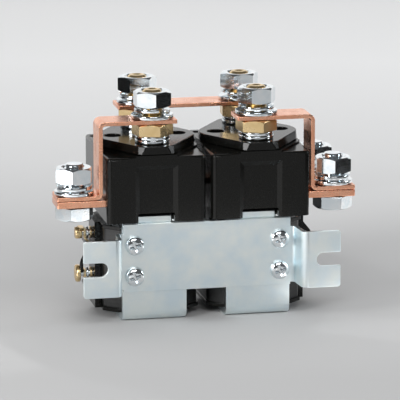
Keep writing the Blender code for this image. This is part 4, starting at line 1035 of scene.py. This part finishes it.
# terminals: each kind of fastener is modelled once and copied
fastenerLook = {
    "flats": 13.0 * mm, "nutHeight": 6.0 * mm, "headHeight": 5.0 * mm, "radius": 3.9 * mm,
    "pitch": 1.25 * mm, "hole": 4.0 * mm, "mouth": 4.9 * mm, "washerHole": 4.3 * mm,
    "washer": 1.4 * mm, "topWasher": 8.0 * mm, "lowerWasher": 7.5 * mm, "seatWasher": 6.6 * mm,
    "seatHeight": 2.7 * mm, "seatGap": 0.08 * mm, "lockOuter": 6.8 * mm, "lockThickness": 1.3 * mm,
    "lockRise": 1.0 * mm, "lockGap": 14, "brassFlats": 13.7 * mm, "brassHeight": 4.4 * mm,
    "brassGap": 0.25 * mm, "edge": 0.09 * mm}


def hexagon(name, flats, low, high, chamferLow, chamferHigh):
    # six sides from a cylinder, its corners turned off at thirty degrees
    leaveEdit()
    corner = flats / math.sqrt(3)
    bpy.ops.mesh.primitive_cylinder_add(vertices=6, radius=corner, depth=high - low,
                                        location=(0, 0, (low + high) / 2),
                                        rotation=(0, 0, math.radians(30)))
    piece = settle(name)
    wide = corner + 0.5 * mm
    flat = 0.97 * flats / 2
    fall = (wide - flat) * math.tan(math.radians(30))
    profile = [(flat, low), (wide, low + fall)] if chamferLow else [(wide, low - 0.5 * mm)]
    profile += [(wide, high - fall), (flat, high)] if chamferHigh else [(wide, high + 0.5 * mm)]
    carve(piece, turned("chamfer", profile, 72), "INTERSECT")
    return piece


def makeNut(look):
    nut = hexagon("nut", look["flats"], 0, look["nutHeight"], True, True)
    top = look["nutHeight"]
    mouth = look["mouth"] - look["hole"]
    carve(nut, turned("hole", [
        (look["mouth"] + 0.5 * mm, -0.4 * mm), (look["mouth"], 0), (look["hole"], mouth),
        (look["hole"], top - mouth), (look["mouth"], top),
        (look["mouth"] + 0.5 * mm, top + 0.4 * mm)], 48))
    soften(nut, look["edge"], 24, 2)
    dress(nut, brightZinc, 30)
    return nut


def makeFlatWasher(look, radius):
    washer = ring("flat_washer", [(look["washerHole"], look["washer"]), (radius, look["washer"]),
                                  (radius, 0), (look["washerHole"], 0)])
    soften(washer, 0.25 * mm, 30, 3)
    dress(washer, brightZinc)
    return washer


def makeSeatWashers(look):
    half = look["seatHeight"] / 2
    washer = ring("seat_washer", [(look["washerHole"], half - look["seatGap"]),
                                  (look["seatWasher"], half - look["seatGap"]),
                                  (look["seatWasher"], 0), (look["washerHole"], 0)])
    soften(washer, 0.22 * mm, 30, 3)
    second = copyOf(washer, "second", (0, 0, half + look["seatGap"]))
    joinTo(washer, second)
    dress(washer, brightZinc)
    return washer


def makeLockWasher(look):
    # a square section swept round, its two ends filled
    leaveEdit()
    width = look["lockOuter"] - look["washerHole"]
    bpy.ops.mesh.primitive_plane_add(
        size=1, location=(look["washerHole"] + width / 2, 0, look["lockThickness"] / 2),
        rotation=(math.radians(90), 0, 0))
    bpy.context.object.scale = (width, look["lockThickness"], 1)
    washer = settle("lock_washer")
    sweepRound(washer, 1 - look["lockGap"] / 360, look["lockRise"], 56)
    fillEnds(washer)
    soften(washer, 0.14 * mm, 35, 2)
    dress(washer, brightZinc)
    return washer


def makeStud(look):
    # thread above the hexagon, plain post below it; heights are those of the frame
    low, high = (corner.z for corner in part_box("front_left_stud"))
    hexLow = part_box("front_left_seat_washers")[1].z + look["brassGap"]
    hexHigh = hexLow + look["brassHeight"]
    radius = look["radius"]
    stud = hexagon("stud", look["brassFlats"], hexLow, hexHigh, False, True)
    soften(stud, look["edge"], 24, 2)
    screwed = thread("screwed", radius, look["pitch"], hexHigh + 0.2 * mm, high)
    tip = turned("tip", [(radius + 0.5 * mm, hexHigh - past), (radius + 0.5 * mm, high - 1.5 * mm),
                         (radius - 0.8 * mm, high - 0.2 * mm), (radius - 1.0 * mm, high)], 48)
    carve(screwed, tip, "INTERSECT")
    carve(screwed, turned("dimple", [(0.1 * mm, high - 0.45 * mm), (1.4 * mm, high - 0.35 * mm),
                                     (2.2 * mm, high + 0.1 * mm)], 32))
    post = turned("post", [
        (radius + 0.5 * mm, low), (radius + 0.5 * mm, coverLow - look["brassGap"]),
        (radius, coverLow - look["brassGap"]), (radius, hexLow + 0.5 * mm)], 48)
    neck = turned("neck", [
        (radius * 0.88, hexHigh - 0.5 * mm), (radius * 0.88, hexHigh + 0.6 * mm)], 48)
    joinTo(stud, screwed, post, neck)
    dress(stud, brass, 30)
    return stud


def makeBolt(look, nutZ, highZ, lowZ):
    radius = look["radius"]
    bolt = hexagon("bolt", look["flats"], lowZ, lowZ + look["headHeight"], True, False)
    soften(bolt, look["edge"], 24, 2)
    screwed = thread("screwed", radius, look["pitch"], nutZ, highZ)
    tip = turned("tip", [(radius + 0.5 * mm, nutZ - past), (radius + 0.5 * mm, highZ - 1.25 * mm),
                         (radius - 0.75 * mm, highZ)], 48)
    carve(screwed, tip, "INTERSECT")
    shank = turned("shank", [(radius, lowZ + look["headHeight"] / 2), (radius, nutZ + 0.3 * mm),
                             (radius * 0.88, nutZ + 0.6 * mm)], 48)
    joinTo(bolt, screwed, shank)
    dress(bolt, brightZinc, 30)
    return bolt


nut = makeNut(fastenerLook)
topWasher = makeFlatWasher(fastenerLook, fastenerLook["topWasher"])
lowerWasher = makeFlatWasher(fastenerLook, fastenerLook["lowerWasher"])
seatWashers = makeSeatWashers(fastenerLook)
lockWasher = makeLockWasher(fastenerLook)
stud = makeStud(fastenerLook)
print("fasteners modelled")

# turns in degrees as seen from above: nut, opening of the spring washer, hexagon or bolt head
turns = {
    "front_left": (30.5, 289, 41.5), "front_right": (4.5, 209, 38.0), "rear_left": (58.5, 170, 15.0),
    "rear_right": (3.5, 210, 25.0), "lower_left": (16.5, 180, 10.0), "lower_right": (23.5, 160, 42.5),
    "lower_rear": (25.0, 150, 5.0)}


def placeStack(spot, place, washer):
    nutTurn, lockTurn = turns[spot][:2]
    for shape, ending, turn in ((washer, "flat_washer", 0),
                                (lockWasher, "lock_washer", lockTurn + fastenerLook["lockGap"] / 2),
                                (nut, "nut", nutTurn)):
        node = spot + "_" + ending
        piece = copyOf(shape, node + "_piece", (place.x, place.y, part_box(node)[0].z), turn)
        assign(piece, "zinc_plate", node)


for spot, place in studPlace.items():
    placeStack(spot, place, topWasher)
    seats = copyOf(seatWashers, spot + "_seat_pair",
                   (place.x, place.y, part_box(spot + "_seat_washers")[0].z))
    assign(seats, "zinc_plate", spot + "_seat_washers")
    post = copyOf(stud, spot + "_post", (place.x, place.y, 0), turns[spot][2])
    assign(post, "brass", spot + "_stud")
bolts = {}
for spot, place in boltPlace.items():
    placeStack(spot, place, lowerWasher)
    low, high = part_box(spot + "_bolt")
    length = round((high.z - low.z) / mm, 2)
    if length not in bolts:
        bolts[length] = makeBolt(fastenerLook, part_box(spot + "_nut")[0].z, high.z, low.z)
    piece = copyOf(bolts[length], spot + "_bolt_piece", (place.x, place.y, 0), turns[spot][2])
    assign(piece, "zinc_plate", spot + "_bolt")
for bolt in bolts.values():
    bpy.data.objects.remove(bolt)
for shape in (nut, topWasher, lowerWasher, seatWashers, lockWasher, stud):
    bpy.data.objects.remove(shape)
print("terminals placed")


# the frame's own nodes keep their shapes and get these finishes
leaveEdit()
slotOf = {part["node"]: part["material_slot"] for part in frame["record"]["subparts"]}
for name, node in frame["nodes"].items():
    for materialSlot in node.material_slots:
        materialSlot.material = finishOf[slotOf[name]].material
print("frame finished")


stageLook = {"floor": 4.0, "key": 5.0, "top": 12.5, "fill": 4.0, "front": 8.0, "world": 0.10}

bpy.ops.mesh.primitive_plane_add(size=stageLook["floor"], location=(0, 1.0, 0))
floor = settle("floor")
floorFinish = Finish("floor", {"Roughness": 0.85, "Specular IOR Level": 0.15})
seen = floorFinish.node("ShaderNodeTexCoord", output="Object")
depth = floorFinish.node("ShaderNodeVectorMath", {"operation": "DOT_PRODUCT"},
                         {0: seen, 1: (0.199, 0.98, 0.0)}, output=1)
share = floorFinish.node("ShaderNodeMapRange", {}, {"Value": depth, "From Min": -0.3, "From Max": 0.7})
# the floor's grey along the view is painted light and shade: a darker band about 40 mm behind the part is
# painted shadow, and the rise to near white towards the back is painted light
paintedLightGreys = [(0.0, 0.47), (0.20, 0.48), (0.28, 0.54), (0.34, 0.48),
         (0.41, 0.52), (0.57, 0.72), (0.83, 0.95), (1.0, 1.0)]
stops = [(position, colour(grey, grey, grey)) for position, grey in paintedLightGreys]
floorFinish.feed("Base Color", floorFinish.node("ShaderNodeValToRGB", {"stops": stops}, {0: share}))
floor.data.materials.append(floorFinish.material)

cameraAim = Vector((1.5, 3.575, 41.6)) * mm
cameraAzimuth, cameraHeight, cameraDistance, cameraLens = -11.7, 12.7, 1.264, 296.8


def direction(azimuth, height):
    # from the middle of the part; azimuth 0 is the front, larger ones go round to the right
    a, h = math.radians(azimuth), math.radians(height)
    return Vector((math.sin(a) * math.cos(h), -math.cos(a) * math.cos(h), math.sin(h)))


def lamp(name, azimuth, height, distance, size, power, tint=(1, 1, 1)):
    spot = cameraAim + direction(azimuth, height) * distance
    aim = (-direction(azimuth, height)).to_track_quat("-Z", "Y").to_euler()
    bpy.ops.object.light_add(type="AREA", location=spot, rotation=aim)
    light = bpy.context.object
    light.name = name
    light.data.shape = "RECTANGLE"
    light.data.size, light.data.size_y = size
    light.data.energy = power
    light.data.color = tint
    return light


def card(name, azimuth, near, far, width, brightness):
    # a card that only reflections see, lying on the floor
    spot = direction(azimuth, 0) * (near + far) / 2 + Vector((0, 0, 1 * mm))
    bpy.ops.mesh.primitive_plane_add(size=1, location=spot, rotation=(0, 0, math.radians(azimuth)))
    bpy.context.object.scale = (width, far - near, 1)
    dressCard(settle(name), brightness)


def backCard(name, place, width, height, brightness):
    bpy.ops.mesh.primitive_plane_add(size=1, location=place, rotation=(math.radians(90), 0, 0))
    bpy.context.object.scale = (width, height, 1)
    dressCard(settle(name), brightness)


def dressCard(piece, brightness):
    finish = Finish(piece.name, {
        "Base Color": colour(0, 0, 0), "Roughness": 1.0, "Specular IOR Level": 0.0,
        "Emission Color": colour(1, 1, 1), "Emission Strength": brightness})
    piece.data.materials.append(finish.material)
    for ray in ("camera", "diffuse", "shadow", "transmission"):
        setattr(piece, "visible_" + ray, False)


lamp("key", cameraAzimuth - 45, 19, 0.95, (0.28, 0.36), stageLook["key"])
lamp("top", 180, 72, 1.35, (1.7, 1.2), stageLook["top"]).visible_glossy = False
lamp("fill", cameraAzimuth + 91, 18, 1.1, (0.24, 0.34), stageLook["fill"], (0.92, 0.96, 1.0))
lamp("front", cameraAzimuth + 8, 38, 1.5, (0.9, 0.6), stageLook["front"])
card("white_card", cameraAzimuth - 42, 0.10, 0.70, 0.24, 1.15)
card("pale_card", cameraAzimuth + 128, 0.10, 0.50, 0.24, 0.95)
card("dark_card_left", cameraAzimuth - 98, 0.26, 1.20, 0.36, 0.01)
card("dark_card_right", cameraAzimuth + 88, 0.26, 1.20, 0.34, 0.01)
card("strip_left", cameraAzimuth - 60, 0.09, 0.46, 0.09, 2.6)
card("strip_right", cameraAzimuth + 66, 0.05, 0.16, 0.03, 1.8)
card("tongue_card", cameraAzimuth + 23.4, 0.155, 0.185, 0.066, 1.7)
backCard("back_card", (0, 1.5, 0.65), 3.0, 1.3, 1.0)

world = bpy.data.worlds.new("studio")
world.use_nodes = True
world.node_tree.nodes["Background"].inputs["Color"].default_value = colour(0.95, 0.97, 1.0)
world.node_tree.nodes["Background"].inputs["Strength"].default_value = stageLook["world"]
bpy.context.scene.world = world
bpy.context.scene.view_settings.view_transform = "Standard"

bpy.ops.object.camera_add(location=cameraAim + direction(cameraAzimuth, cameraHeight) * cameraDistance)
camera = bpy.context.object
camera.rotation_euler = (-direction(cameraAzimuth, cameraHeight)).to_track_quat("-Z", "Y").to_euler()
camera.data.lens = cameraLens
camera.data.sensor_width = 36
camera.data.clip_start = 0.05
bpy.context.scene.camera = camera
print("stage set")
